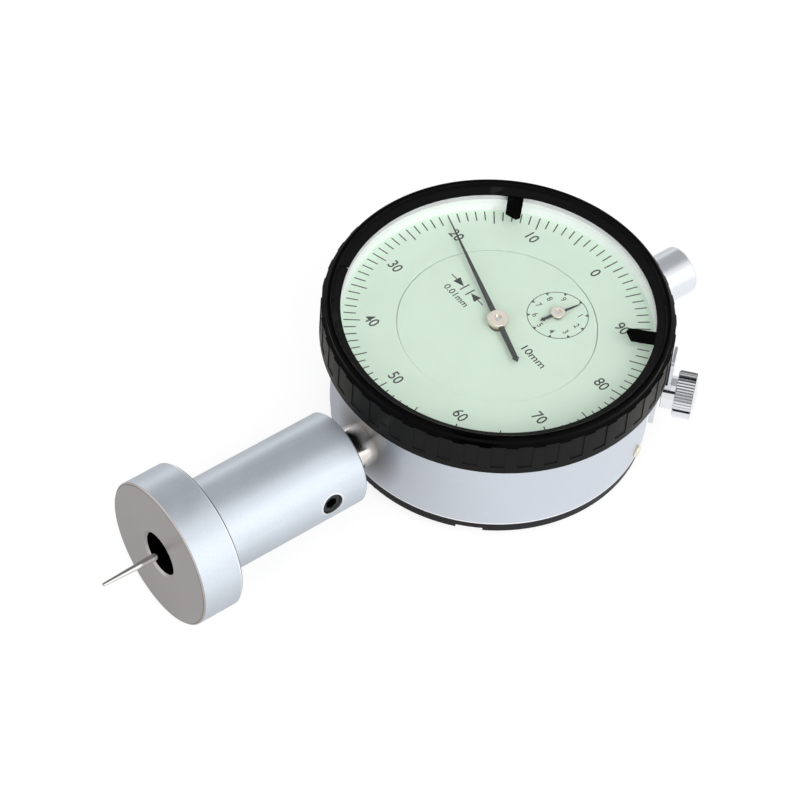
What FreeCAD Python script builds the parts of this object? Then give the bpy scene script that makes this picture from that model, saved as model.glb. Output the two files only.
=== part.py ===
import FreeCAD
import Part
import os
from math import acos, cos, hypot, pi, radians, sin, sqrt, tan

# Dial depth gauge lying on its back, in millimetres.
# The spindle axis is the Y axis, from the measuring face (y = 0) up to the cap.
# +X is 3 o'clock on the dial and +Z comes out of the dial.

V = FreeCAD.Vector
X = V(1, 0, 0)
Y = V(0, 1, 0)
Z = V(0, 0, 1)

# Layout
dial_centre_y = 71.07
spindle_travel = 11.2
needle_reach = 11.2
stem_shown = 5.37
slide_gap = 0.03
seat_gap = 0.02
turn_gap = 0.1
cut_over = 1.0

# Measuring base
flange_radius = 13.4
flange_height = 8.0
sleeve_radius = 8.6
base_chamfer = 0.3
bore_chamfer = 0.4
set_screw_y = 30.0
set_screw_tilt = 5.8
set_screw_radius = 2.0
set_screw_recess = 0.5
set_screw_socket = 2.0
set_screw_socket_depth = 2.0

# Stem and its bushes
stem_radius = 4.0
stem_start_y = 14.0
stem_bore_radius = 3.1
stem_bush_length = 6.0

# Case
case_radius = 28.3
case_wall = 1.6
case_back_z = -7.24
case_front_z = 8.9
case_edge_round = 0.2
web_low_z = 2.9
web_thickness = 1.0
neck_step = 0.5
neck_wall = 1.5
neck_top_z = 11.5
wire_groove_low_z = 9.8
wire_groove_width = 0.9
wire_groove_depth = 0.45
stem_boss_width = 11.2
stem_boss_length = 3.6
stem_boss_height = 10.8
top_boss_width = 9.0
top_boss_length = 3.2
top_boss_height = 9.2
cover_post_radius = 2.2
cover_post_inset = 4.7
cover_post_angles = (45, 135, 225, 315)

# Plug screw in the case's side
plug_angle = 62.0
plug_z = -5.7
plug_radius = 1.2
plug_stand = 0.6
plug_shank_radius = 0.7

# Back cover
cover_thickness = 2.32
cover_inset = 0.2
cover_edge_round = 0.5
cover_rim_gap = 0.2
cover_rim_height = 1.2
cover_rim_width = 1.7
seal_groove_depth = 0.6
seal_groove_width = 0.66
seal_wire_radius = 0.32
notch_angle = 134.8
notch_width = 4.7
notch_depth = 1.0
notch_height = 0.9
cover_screw_radius = 0.8
cover_screw_head_radius = 1.6
cover_screw_head_height = 0.7
cover_screw_length = 5.9

# Cap and bush at the spindle's upper end
top_bush_radius = 3.2
top_neck_length = 4.0
cap_radius = 4.5
cap_length = 15.9
cap_end_wall = 1.0
cap_end_round = 0.6
cap_sink = 0.27
cap_thread_gap = 0.05

# Spindle, rack and needle
spindle_radius = 2.5
spindle_start_y = 13.0
spindle_top_gap = 0.5
rack_pitch_x = 2.09
rack_spare = 1.4
holder_radius = 2.2
holder_length = 5.4
holder_nose_length = 2.5
holder_nose_radius = 1.0
holder_stud_radius = 1.2
holder_stud_length = 4.0
needle_radius = 0.82
needle_tip_radius = 0.32
needle_shank_length = 5.0

# Guide pin and guide plate
guide_pin_y = 82.0
guide_pin_radius = 0.8
guide_pin_end_x = 9.3
guide_plate_near_x = 4.8
guide_plate_thickness = 1.6
guide_plate_end = 1.4
guide_plate_low_z = -2.4
guide_foot_end_x = 12.4
guide_foot_thickness = 0.8
guide_screw_x = 10.8
guide_screw_offsets = (2.4, 9.8)

# Return spring
spring_x = 7.9
spring_post_y = 52.0
spring_post_radius = 0.9
spring_post_end_z = -1.4
spring_coil_radius = 1.2
spring_wire_radius = 0.17
spring_pitch = 0.8
spring_hook_radius = 1.15

# Gear train
rack_tooth_pitch = 0.625
rack_pinion_teeth = 16
wheel_teeth = 100
centre_pinion_teeth = 10
pressure_angle = 20.0
addendum_share = 0.8
dedendum_share = 1.15
flank_thinning = 0.045
small_dial_angle = 22.6
pinion_half_height = 1.2
centre_pinion_low_z = 4.95
centre_pinion_high_z = 6.15
wheel_low_z = 5.3
wheel_thickness = 0.5
wheel_rim = 1.0
wheel_hub_radius = 2.0
wheel_spokes = 5
wheel_spoke_width = 1.2
rack_arbor_radius = 0.6
hand_arbor_radius = 0.5
pivot_radius = 0.3
pivot_gap = 0.03

# Movement plates
plate_inset = 4.9
plate_thickness = 0.8
upper_plate_low_z = 8.1
pillar_radius = 1.5
pillar_inset = 1.9
pillar_screw_depth = 2.0
pillar_angles = (75, 115, 255, 295)
lower_screw_angles = (95, 140, 275, 320)
small_screw_radius = 0.6
small_screw_head_radius = 1.2
small_screw_head_height = 0.5
jewel_radius = 0.9
hand_jewel_radius = 1.15
jewel_inset = 0.05
bridge_floor_top_z = -2.7
bridge_floor_thickness = 0.8
bridge_near_x = -1.4
bridge_far_x = -11.4
bridge_post_width = 3.4
bridge_width = 6.0
bridge_screw_head_height = 0.6

# Hairspring
hairspring_low_z = 6.5
hairspring_height = 0.7
hairspring_thickness = 0.1
hairspring_inner_radius = 1.05
hairspring_outer_radius = 4.5
hairspring_turns = 6
hairspring_stud_radius = 0.45
collet_radius = 1.0

# Dials
dial_face_z = 12.5
dial_thickness = 0.6
inner_dial_radius = 17.45
inner_dial_drop = 0.1
dial_split_gap = 0.1
inner_dial_hole_radius = 1.5
small_dial_hole_radius = 1.0
dial_foot_radius = 1.0
dial_foot_circle = 14.0
dial_foot_angles = (100, 220, 340)

# Hands
main_hand_angle = -72.1
main_hand_inset = 1.5
main_hand_tail = 9.9
main_hand_root_width = 1.05
main_hand_tip_width = 0.16
main_hand_low_z = 13.5
main_hand_thickness = 0.14
main_bush_radius = 1.35
main_bush_drop = 0.8
main_hub_radius = 1.9
main_hub_height = 0.6
main_hub_recess_radius = 0.75
small_hand_angle = 7.2
small_hand_length = 4.6
small_hand_tail = 3.6
small_hand_root_width = 0.6
small_hand_tip_width = 0.2
small_hand_low_z = 12.85
small_hand_thickness = 0.12
small_bush_radius = 0.85
small_bush_drop = 0.25
small_hub_radius = 1.3
small_hub_height = 0.32
small_hub_recess_radius = 0.62

# Bezel and crystal
bezel_overhang = 2.52
bezel_low_z = 8.95
bezel_edge_low_z = 9.9
bezel_shoulder_z = 16.4
bezel_shoulder_rise = 0.55
bezel_rim_inset = 0.6
bezel_top_z = 18.0
bezel_lip_inset = 3.42
bezel_lip_top_z = 16.62
grip_pockets = 42
grip_pocket_angle = 4.7
grip_pocket_depth = 0.16
grip_pocket_low_z = 11.4
grip_pocket_top_z = 16.9
grip_pocket_round = 0.5
grip_pocket_phase = 85.1
dial_ring_inset = 2.42
wall_ring_inset = 3.57
wall_ring_top_z = 15.1
crystal_thickness = 0.8
split_ring_inset = 2.1
split_ring_seat_width = 0.5
split_ring_outer_top_z = 17.2
split_ring_lip_z = 16.4
split_ring_gap = 0.35
split_ring_gap_angle = 234.0
wire_radius = 0.38
wire_gap = 2.4

# Limit hands
limit_hand_angles = (314.3, 47.4)
limit_hand_low_z = 16.0
limit_hand_thickness = 0.3
limit_hand_foot_inset = 2.72
limit_hand_foot_depth = 0.4
limit_hand_foot_angle = 10.0
limit_hand_width = 2.7
limit_hand_reach = 5.9
limit_hand_short_side = 4.8

# Bezel clamp
clamp_angle = 49.5
clamp_z = 4.4
clamp_pad_inset = 2.12
clamp_pad_width = 7.0
clamp_pad_height = 5.0
strip_length = 13.2
strip_low_z = 1.9
strip_high_z = 8.75
strip_thickness = 0.9
strip_corner = 1.6
strip_gap = 0.05
tongue_width = 5.0
tongue_thickness = 0.5
tongue_root_height = 0.8
tongue_top_z = 14.3
tongue_corner = 1.0
tongue_gap = 0.12
clamp_shank_radius = 1.45
clamp_hole_gap = 0.1
clamp_shoulder_gap = 0.45
clamp_neck_radius = 3.0
clamp_neck_length = 2.3
clamp_head_radius = 4.15
clamp_head_length = 3.35
clamp_dome_height = 0.5
clamp_flutes = 44
clamp_flute_depth = 0.28

# Worked out from the sizes above
base_height = dial_centre_y - case_radius - stem_shown
neck_radius = case_radius - neck_step
cover_radius = case_radius - cover_inset
cover_post_circle = case_radius - cover_post_inset
cap_seat_y = dial_centre_y + case_radius - cap_sink
cap_end_y = cap_seat_y + cap_length
bezel_radius = case_radius + bezel_overhang
bezel_rim_radius = bezel_radius - bezel_rim_inset
bezel_lip_radius = bezel_radius - bezel_lip_inset
dial_ring_radius = bezel_radius - dial_ring_inset
wall_ring_inner_radius = bezel_radius - wall_ring_inset
split_ring_radius = bezel_radius - split_ring_inset
main_hand_length = wall_ring_inner_radius - main_hand_inset
limit_hand_foot_outer_radius = bezel_radius - limit_hand_foot_inset
limit_hand_foot_inner_radius = limit_hand_foot_outer_radius - limit_hand_foot_depth
limit_hand_tip_radius = limit_hand_foot_outer_radius - limit_hand_reach
limit_hand_short_side_radius = limit_hand_foot_outer_radius - limit_hand_short_side
clamp_pad_radius = bezel_radius - clamp_pad_inset
module = rack_tooth_pitch / pi
addendum = addendum_share * module
dedendum = dedendum_share * module
rack_pinion_pitch_radius = module * rack_pinion_teeth / 2
gear_centre_distance = module * (wheel_teeth + centre_pinion_teeth) / 2
rack_axis_x = -(rack_pitch_x + rack_pinion_pitch_radius)
rack_axis_y = dial_centre_y - sqrt(gear_centre_distance ** 2 - rack_axis_x ** 2)
small_dial_x = gear_centre_distance * sin(radians(small_dial_angle))
small_dial_y = dial_centre_y + gear_centre_distance * cos(radians(small_dial_angle))
case_inner_radius = case_radius - case_wall
plate_radius = case_inner_radius - plate_inset
pillar_circle = plate_radius - pillar_inset
web_top_z = web_low_z + web_thickness
lower_plate_top_z = web_top_z + plate_thickness
upper_plate_top_z = upper_plate_low_z + plate_thickness
dial_back_z = dial_face_z - dial_thickness
crystal_top_z = wall_ring_top_z + crystal_thickness
wheel_top_z = wheel_low_z + wheel_thickness
spindle_end_y = cap_end_y - cap_end_wall - spindle_top_gap - spindle_travel
stem_end_y = dial_centre_y - case_inner_radius + stem_boss_length
top_boss_start_y = dial_centre_y + case_inner_radius - top_boss_length
bridge_floor_low_z = bridge_floor_top_z - bridge_floor_thickness


# Shape helpers

def rounded_face(points):
    """Flat face in the XY plane. A point (x, y, r) has its corner rounded with radius r."""
    corners = []
    for i, point in enumerate(points):
        here = V(point[0], point[1], 0)
        if len(point) == 2:
            corners.append((here, None, here))
            continue
        following = points[(i + 1) % len(points)]
        back = (V(points[i - 1][0], points[i - 1][1], 0) - here).normalize()
        ahead = (V(following[0], following[1], 0) - here).normalize()
        half = back.getAngle(ahead) / 2
        inward = (back + ahead).normalize()
        middle = here + inward * (point[2] / sin(half) - point[2])
        reach = point[2] / tan(half)
        corners.append((here + back * reach, middle, here + ahead * reach))
    edges = []
    for i, (start, middle, end) in enumerate(corners):
        if middle is not None:
            edges.append(Part.Arc(start, middle, end).toShape())
        next_start = corners[(i + 1) % len(corners)][0]
        if end.distanceToPoint(next_start) > 1e-6:
            edges.append(Part.makeLine(end, next_start))
    return Part.Face(Part.Wire(edges))


def turned(points, centre, direction):
    """Solid of revolution: points are (radius, distance along direction from centre)."""
    solid = rounded_face(points).revolve(V(0, 0, 0), Y, 360)
    solid.Placement = FreeCAD.Placement(centre, FreeCAD.Rotation(Y, direction))
    return solid


def on_dial_axis(points):
    """Solid of revolution about the dial axis: points are (radius, z)."""
    return turned(points, V(0, dial_centre_y, 0), Z)


def on_spindle_axis(points):
    """Solid of revolution about the spindle axis: points are (radius, y)."""
    return turned(points, V(0, 0, 0), Y)


def slab(points, low, high):
    """Flat outline in XY, drawn out from z = low to z = high."""
    face = rounded_face(points)
    face.translate(V(0, 0, low))
    return face.extrude(V(0, 0, high - low))


def rod(radius, start, end):
    """Cylinder from one point to another."""
    return Part.makeCylinder(radius, (end - start).Length, start, end - start)


def tube(outer, inner, start, end):
    return rod(outer, start, end).cut(rod(inner, start, end))


def box(low, high):
    return Part.makeBox(high[0] - low[0], high[1] - low[1], high[2] - low[2], V(*low))


def clock(angle, radius, z=0.0):
    """Point at a clockwise angle from 12 o'clock about the dial axis."""
    return V(radius * sin(radians(angle)), dial_centre_y + radius * cos(radians(angle)), z)


def at_clock(shape, angle):
    """Turn a shape made on +Y of the origin to a clockwise angle about the dial axis."""
    shape.rotate(V(0, 0, 0), Z, -angle)
    shape.translate(V(0, dial_centre_y, 0))
    return shape


def fused(shapes):
    return shapes[0].multiFuse(shapes[1:]).removeSplitter()


def slotted_screw(radius, head_radius, head_height, length, seat, direction):
    """Cheese-head screw: seat is the middle of the head's underside, direction points out of the head."""
    points = [(0, -length), (radius, -length), (radius, 0), (head_radius, 0),
              (head_radius, head_height, head_height * 0.3), (0, head_height)]
    slot = Part.makeBox(head_radius * 0.3, head_height, head_radius * 3,
                        V(-head_radius * 0.15, head_height * 0.5, -head_radius * 1.5))
    screw = turned(points, V(0, 0, 0), Y).cut(slot)
    screw.Placement = FreeCAD.Placement(seat, FreeCAD.Rotation(Y, direction))
    return screw


# Gear helpers

def half_tooth_angle(teeth, radius):
    """Half the angle that a tooth fills at a radius, in radians."""
    pitch_radius = module * teeth / 2
    base_radius = pitch_radius * cos(radians(pressure_angle))
    at_pitch = pi / (2 * teeth) - flank_thinning / (2 * pitch_radius)
    if radius < base_radius:
        return half_tooth_angle(teeth, base_radius) * (1 - 0.6 * (base_radius - radius) / base_radius)
    slope = acos(base_radius / radius)
    return at_pitch + tan(radians(pressure_angle)) - radians(pressure_angle) - (tan(slope) - slope)


def gear_wire(teeth, steps, phase):
    """Involute outline about the origin. One tooth's middle lies at the phase angle, in radians from +X."""
    root = module * teeth / 2 - dedendum
    tip = module * teeth / 2 + addendum
    radii = [root + (tip - root) * i / steps for i in range(steps + 1)]
    points = []
    for tooth in range(teeth):
        middle = phase + 2 * pi * tooth / teeth
        rising = [(r, middle - half_tooth_angle(teeth, r)) for r in radii]
        falling = [(r, middle + half_tooth_angle(teeth, r)) for r in reversed(radii)]
        points += [V(r * cos(a), r * sin(a), 0) for r, a in rising + falling]
    return Part.makePolygon(points + points[:1])


def circle_wire(radius):
    return Part.Wire(Part.makeCircle(radius))


def spoke_window(start_angle, end_angle, inner, outer):
    """Opening between two spokes, as a closed wire about the origin."""
    corners = [V(r * cos(a), r * sin(a), 0)
               for r, a in ((inner, start_angle), (outer, start_angle),
                            (outer, end_angle), (inner, end_angle))]
    middle = (start_angle + end_angle) / 2
    outer_arc = Part.Arc(corners[1], V(outer * cos(middle), outer * sin(middle), 0), corners[2]).toShape()
    inner_arc = Part.Arc(corners[3], V(inner * cos(middle), inner * sin(middle), 0), corners[0]).toShape()
    sides = [Part.makeLine(corners[0], corners[1]), Part.makeLine(corners[2], corners[3])]
    return Part.Wire([sides[0], outer_arc, sides[1], inner_arc])


def wheel(phase, bore):
    """Spoked wheel about the origin, resting on z = wheel_low_z."""
    rim = module * wheel_teeth / 2 - dedendum - wheel_rim
    holes = [circle_wire(bore)]
    for i in range(wheel_spokes):
        start = 2 * pi * i / wheel_spokes
        margin = wheel_spoke_width / (rim + wheel_hub_radius)
        holes.append(spoke_window(start + margin, start + 2 * pi / wheel_spokes - margin,
                                  wheel_hub_radius, rim))
    face = Part.Face([gear_wire(wheel_teeth, 2, phase)] + holes, "Part::FaceMakerBullseye")
    face.translate(V(0, 0, wheel_low_z))
    return face.extrude(V(0, 0, wheel_thickness))


def pinion(teeth, low, high, phase):
    face = Part.Face(gear_wire(teeth, 6, phase))
    face.translate(V(0, 0, low))
    return face.extrude(V(0, 0, high - low))


def direction_angle(from_x, from_y, to_x, to_y):
    """Angle from +X of the line between two points, in radians."""
    angle = acos((to_x - from_x) / hypot(to_x - from_x, to_y - from_y))
    return angle if to_y >= from_y else -angle


# Tooth positions: each phase puts a tooth of one gear in a gap of the next
rack_pinion_phase = 0
rack_wheel_phase = direction_angle(rack_axis_x, rack_axis_y, 0, dial_centre_y)
centre_phase = direction_angle(0, dial_centre_y, rack_axis_x, rack_axis_y) + pi / centre_pinion_teeth
small_line = direction_angle(0, dial_centre_y, small_dial_x, small_dial_y)
centre_tooth_offset = (small_line - centre_phase) % (2 * pi / centre_pinion_teeth)
take_up_phase = small_line + pi + pi / wheel_teeth + centre_tooth_offset * centre_pinion_teeth / wheel_teeth


# Measuring base and stem

def measuring_base():
    bore = stem_radius + seat_gap / 2
    body = on_spindle_axis([
        (bore + bore_chamfer, 0), (flange_radius - base_chamfer, 0), (flange_radius, base_chamfer),
        (flange_radius, flange_height - base_chamfer), (flange_radius - base_chamfer, flange_height),
        (sleeve_radius, flange_height), (sleeve_radius, base_height - base_chamfer),
        (sleeve_radius - base_chamfer, base_height), (bore, base_height), (bore, bore_chamfer)])
    outward = V(cos(radians(set_screw_tilt)), 0, sin(radians(set_screw_tilt)))
    middle = V(0, set_screw_y, 0)
    return body.cut(rod(set_screw_radius + seat_gap, middle, middle + outward * (sleeve_radius + 1)))


def base_set_screw():
    outward = V(cos(radians(set_screw_tilt)), 0, sin(radians(set_screw_tilt)))
    end = sleeve_radius - set_screw_recess
    screw = turned([(0, stem_radius), (set_screw_radius - 0.5, stem_radius),
                    (set_screw_radius, stem_radius + 0.5),
                    (set_screw_radius, end - 0.2), (set_screw_radius - 0.2, end), (0, end)],
                   V(0, set_screw_y, 0), outward)
    corner = set_screw_socket / 2 / cos(radians(30))
    hexagon = [(corner * cos(radians(60 * i)), corner * sin(radians(60 * i))) for i in range(6)]
    socket = slab(hexagon, end - set_screw_socket_depth, end + 1)
    socket.Placement = FreeCAD.Placement(V(0, set_screw_y, 0), FreeCAD.Rotation(Z, outward))
    return screw.cut(socket)


def stem():
    return on_spindle_axis([
        (stem_bore_radius, stem_start_y), (stem_radius - 0.3, stem_start_y),
        (stem_radius, stem_start_y + 0.3),
        (stem_radius, stem_end_y), (stem_bore_radius, stem_end_y)])


def stem_bushes():
    bore = spindle_radius + slide_gap
    starts = (stem_start_y, stem_end_y - stem_bush_length)
    return Part.makeCompound([tube(stem_bore_radius, bore, V(0, y, 0), V(0, y + stem_bush_length, 0))
                              for y in starts])


# Case

def case_body():
    groove_radius = neck_radius - wire_groove_depth
    groove_top_z = wire_groove_low_z + wire_groove_width
    shell = on_dial_axis([
        (case_radius, case_back_z), (case_radius, case_front_z, case_edge_round), (neck_radius, case_front_z),
        (neck_radius, wire_groove_low_z), (groove_radius, wire_groove_low_z), (groove_radius, groove_top_z),
        (neck_radius, groove_top_z), (neck_radius, neck_top_z), (neck_radius - neck_wall, neck_top_z),
        (neck_radius - neck_wall, web_top_z), (0, web_top_z), (0, web_low_z),
        (case_inner_radius, web_low_z), (case_inner_radius, case_back_z)])
    stem_boss = box((-stem_boss_width / 2, stem_end_y - stem_boss_length - 0.8, -stem_boss_height / 2),
                    (stem_boss_width / 2, stem_end_y, stem_boss_height / 2))
    top_boss = box((-top_boss_width / 2, top_boss_start_y, -top_boss_height / 2),
                   (top_boss_width / 2, top_boss_start_y + top_boss_length + 0.5, top_boss_height / 2))
    posts = [rod(cover_post_radius, clock(a, cover_post_circle, case_back_z + cover_rim_height + 0.3),
                 clock(a, cover_post_circle, web_low_z + 0.3)) for a in cover_post_angles]
    pad = at_clock(box((-clamp_pad_width / 2, case_inner_radius + 0.3, clamp_z - clamp_pad_height / 2),
                       (clamp_pad_width / 2, clamp_pad_radius, clamp_z + clamp_pad_height / 2)), clamp_angle)
    case = fused([shell, stem_boss, top_boss, pad] + posts)
    holes = [
        rod(stem_radius + seat_gap / 2, V(0, dial_centre_y - case_radius - cut_over, 0),
            V(0, stem_end_y + cut_over, 0)),
        rod(top_bush_radius, V(0, top_boss_start_y - 1, 0), V(0, cap_seat_y + 1, 0)),
        rod(cap_radius + 0.4, V(0, cap_seat_y, 0), V(0, cap_seat_y + 2, 0)),
        rod(rack_pinion_pitch_radius + 0.7, V(rack_axis_x, rack_axis_y, web_low_z - 1),
            V(rack_axis_x, rack_axis_y, web_top_z + 1)),
        at_clock(rod(clamp_shank_radius + clamp_hole_gap / 2, V(0, case_inner_radius - 2, clamp_z),
                     V(0, clamp_pad_radius + 1, clamp_z)), clamp_angle),
        at_clock(rod(plug_shank_radius + seat_gap / 2, V(0, case_inner_radius - 2, plug_z),
                     V(0, case_radius + 1, plug_z)), plug_angle),
        rod(spring_post_radius - 0.3, V(spring_x, spring_post_y, web_low_z - 1),
            V(spring_x, spring_post_y, web_top_z))]
    holes += [rod(cover_screw_radius, clock(a, cover_post_circle, case_back_z - 1),
                  clock(a, cover_post_circle, case_back_z - cover_thickness + cover_screw_length + 0.4))
              for a in cover_post_angles]
    holes += [rod(small_screw_radius, clock(a, pillar_circle, web_low_z - 1),
                  clock(a, pillar_circle, web_top_z + 1))
              for a in lower_screw_angles]
    holes += [rod(small_screw_radius, V(guide_screw_x, guide_pin_y + dy, web_low_z - 1),
                  V(guide_screw_x, guide_pin_y + dy, web_top_z - 0.2)) for dy in guide_screw_offsets]
    holes.append(rod(small_screw_radius, V(bridge_far_x + bridge_post_width / 2, rack_axis_y, web_low_z - 1),
                     V(bridge_far_x + bridge_post_width / 2, rack_axis_y, web_top_z - 0.2)))
    return case.cut(holes)


def case_plug_screw():
    plug = turned([(0, case_inner_radius + 0.1), (plug_shank_radius, case_inner_radius + 0.1),
                   (plug_shank_radius, case_radius), (plug_radius, case_radius),
                   (plug_radius, case_radius + plug_stand, plug_stand * 0.8), (0, case_radius + plug_stand)],
                  V(0, 0, plug_z), Y)
    return at_clock(plug, plug_angle)


def back_cover():
    back = case_back_z - cover_thickness
    rim = case_inner_radius - cover_rim_gap
    rim_top = case_back_z + cover_rim_height
    groove_low = rim_top - 0.25 - seal_groove_width
    cover = on_dial_axis([
        (0, back), (cover_radius, back, cover_edge_round), (cover_radius, case_back_z), (rim, case_back_z),
        (rim, groove_low), (rim - seal_groove_depth, groove_low),
        (rim - seal_groove_depth, groove_low + seal_groove_width), (rim, groove_low + seal_groove_width),
        (rim, rim_top), (rim - cover_rim_width, rim_top),
        (rim - cover_rim_width, case_back_z), (0, case_back_z)])
    cuts = [at_clock(box((-notch_width / 2, cover_radius - notch_depth, back - 1),
                         (notch_width / 2, cover_radius + 1, back + notch_height)), notch_angle)]
    for a in cover_post_angles:
        foot = clock(a, cover_post_circle, back)
        cuts.append(rod(cover_screw_radius, foot - Z, foot + Z * (cover_thickness + 1)))
        cuts.append(rod(cover_screw_head_radius + 0.1, foot - Z, foot + Z * cover_screw_head_height))
        rim_clearance = rod(cover_post_radius + 0.3, foot + Z * cover_thickness,
                            foot + Z * (cover_thickness + 3))
        cuts.append(rim_clearance)
    return cover.cut(cuts)


def back_cover_screws():
    seat_z = case_back_z - cover_thickness + cover_screw_head_height
    return Part.makeCompound([
        slotted_screw(cover_screw_radius, cover_screw_head_radius, cover_screw_head_height - 0.05,
                      cover_screw_length - cover_screw_head_height, clock(a, cover_post_circle, seat_z), -Z)
        for a in cover_post_angles])


def back_cover_seal():
    rim = case_inner_radius - cover_rim_gap
    centre_z = case_back_z + cover_rim_height - 0.25 - seal_groove_width / 2
    centre_radius = rim - seal_groove_depth + seal_wire_radius + seat_gap
    return Part.makeTorus(centre_radius, seal_wire_radius, V(0, dial_centre_y, centre_z), Z)


def top_bush():
    bore = spindle_radius + slide_gap
    return on_spindle_axis([
        (bore, top_boss_start_y), (top_bush_radius, top_boss_start_y),
        (top_bush_radius, cap_seat_y + top_neck_length),
        (bore, cap_seat_y + top_neck_length)])


def dust_cap():
    bore = top_bush_radius + cap_thread_gap
    return on_spindle_axis([
        (bore, cap_seat_y + 0.02), (cap_radius, cap_seat_y + 0.02), (cap_radius, cap_end_y, cap_end_round),
        (0, cap_end_y), (0, cap_end_y - cap_end_wall), (bore, cap_end_y - cap_end_wall)])


# Spindle

def rack_cutter():
    """Everything to cut away in front of the rack's teeth, in the XY plane and drawn out along Z."""
    tip_x = -(rack_pitch_x + addendum)
    root_x = -(rack_pitch_x - dedendum)
    slope = tan(radians(pressure_angle))
    half_gap = rack_tooth_pitch / 4 + flank_thinning / 2
    start_y = rack_axis_y - spindle_travel - rack_spare
    gaps = round((spindle_travel + 2 * rack_spare) / rack_tooth_pitch)
    first_gap_y = rack_axis_y - round((rack_axis_y - start_y) / rack_tooth_pitch) * rack_tooth_pitch
    points = [(-spindle_radius - 1, first_gap_y - rack_tooth_pitch), (tip_x, first_gap_y - rack_tooth_pitch)]
    for i in range(gaps):
        y = first_gap_y + i * rack_tooth_pitch
        wide = half_gap + addendum * slope
        narrow = half_gap - dedendum * slope
        points += [(tip_x, y - wide), (root_x, y - narrow), (root_x, y + narrow), (tip_x, y + wide)]
    last_y = first_gap_y + gaps * rack_tooth_pitch
    points += [(tip_x, last_y), (-spindle_radius - 1, last_y)]
    return slab(points, -spindle_radius - 1, spindle_radius + 1)


def spindle_rack():
    body = on_spindle_axis([
        (holder_stud_radius + 0.02, spindle_start_y), (spindle_radius - 0.3, spindle_start_y),
        (spindle_radius, spindle_start_y + 0.3), (spindle_radius, spindle_end_y - 0.3),
        (spindle_radius - 0.3, spindle_end_y), (0, spindle_end_y),
        (0, spindle_start_y + holder_stud_length + 0.3),
        (holder_stud_radius + 0.02, spindle_start_y + holder_stud_length + 0.3)])
    pin_hole = rod(guide_pin_radius, V(0, guide_pin_y, 0), V(spindle_radius + 1, guide_pin_y, 0))
    return body.cut([rack_cutter(), pin_hole])


def guide_pin():
    start = V(0.2, guide_pin_y, 0)
    return rod(guide_pin_radius, start, V(guide_pin_end_x, guide_pin_y, 0))


def needle_holder():
    start = spindle_start_y - holder_length
    return on_spindle_axis([
        (needle_radius + 0.01, start - holder_nose_length + 0.5),
        (holder_nose_radius, start - holder_nose_length + 0.5),
        (holder_radius, start), (holder_radius, spindle_start_y), (holder_stud_radius, spindle_start_y),
        (holder_stud_radius, spindle_start_y + holder_stud_length), (0, spindle_start_y + holder_stud_length),
        (0, start - holder_nose_length + 0.5 + needle_shank_length + 0.1),
        (needle_radius + 0.01, start - holder_nose_length + 0.5 + needle_shank_length + 0.1)])


def needle_point():
    mouth = spindle_start_y - holder_length - holder_nose_length + 0.5
    return on_spindle_axis([
        (0, -needle_reach), (needle_tip_radius, -needle_reach, 0.15), (needle_radius, mouth - 2.0),
        (needle_radius, mouth + needle_shank_length), (0, mouth + needle_shank_length)])


def guide_plate():
    far_x = guide_plate_near_x + guide_plate_thickness
    slot_start = guide_pin_y - guide_pin_radius - 0.05
    slot_end = guide_pin_y + spindle_travel + guide_pin_radius + 0.05
    half_slot = guide_pin_radius + slide_gap
    wall = box((guide_plate_near_x, slot_start - guide_plate_end, guide_plate_low_z),
               (far_x, slot_end + guide_plate_end * 0.8, web_low_z))
    foot = box((guide_plate_near_x, slot_start - guide_plate_end, web_low_z - guide_foot_thickness),
               (guide_foot_end_x, slot_end + guide_plate_end * 0.8, web_low_z))
    slot = box((guide_plate_near_x - 1, slot_start, -half_slot), (far_x + 1, slot_end, half_slot))
    outside = tube(2 * case_radius, case_inner_radius - 0.3, V(0, dial_centre_y, -case_radius),
                   V(0, dial_centre_y, case_radius))
    cuts = [slot, outside]
    cuts += [rod(small_screw_radius + 0.05, V(guide_screw_x, guide_pin_y + dy, 0),
                 V(guide_screw_x, guide_pin_y + dy, web_low_z + 1)) for dy in guide_screw_offsets]
    return fused([wall, foot]).cut(cuts)


def guide_plate_screws():
    seat_z = web_low_z - guide_foot_thickness
    return Part.makeCompound([
        slotted_screw(small_screw_radius, small_screw_head_radius, small_screw_head_height,
                      guide_foot_thickness + web_thickness - 0.3,
                      V(guide_screw_x, guide_pin_y + dy, seat_z), -Z)
        for dy in guide_screw_offsets])


def spring_post():
    shank = rod(spring_post_radius - 0.3, V(spring_x, spring_post_y, web_low_z - 0.1),
                V(spring_x, spring_post_y, web_top_z - 0.1))
    return rod(spring_post_radius, V(spring_x, spring_post_y, spring_post_end_z),
               V(spring_x, spring_post_y, web_low_z)).fuse(shank)


def return_spring():
    start_y = spring_post_y + spring_hook_radius
    end_y = guide_pin_y - spring_hook_radius
    length = end_y - start_y
    path = Part.makeHelix(spring_pitch, length, spring_coil_radius)
    section = Part.Wire(Part.makeCircle(spring_wire_radius, V(spring_coil_radius, 0, 0), Y))
    coil = Part.Wire(path).makePipeShell([section], True, True)
    coil.Placement = FreeCAD.Placement(V(spring_x, start_y, 0), FreeCAD.Rotation(Z, Y))
    lower_hook = Part.makeTorus(spring_hook_radius, spring_wire_radius, V(spring_x, spring_post_y, 0), Z)
    upper_hook = Part.makeTorus(spring_hook_radius, spring_wire_radius, V(spring_x, guide_pin_y, 0), X)
    return Part.makeCompound([coil, lower_hook, upper_hook])


# Movement

def plate_hole(x, y, radius):
    """Cutter through either movement plate."""
    return rod(radius, V(x, y, web_top_z - cut_over), V(x, y, upper_plate_top_z + cut_over))


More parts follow.
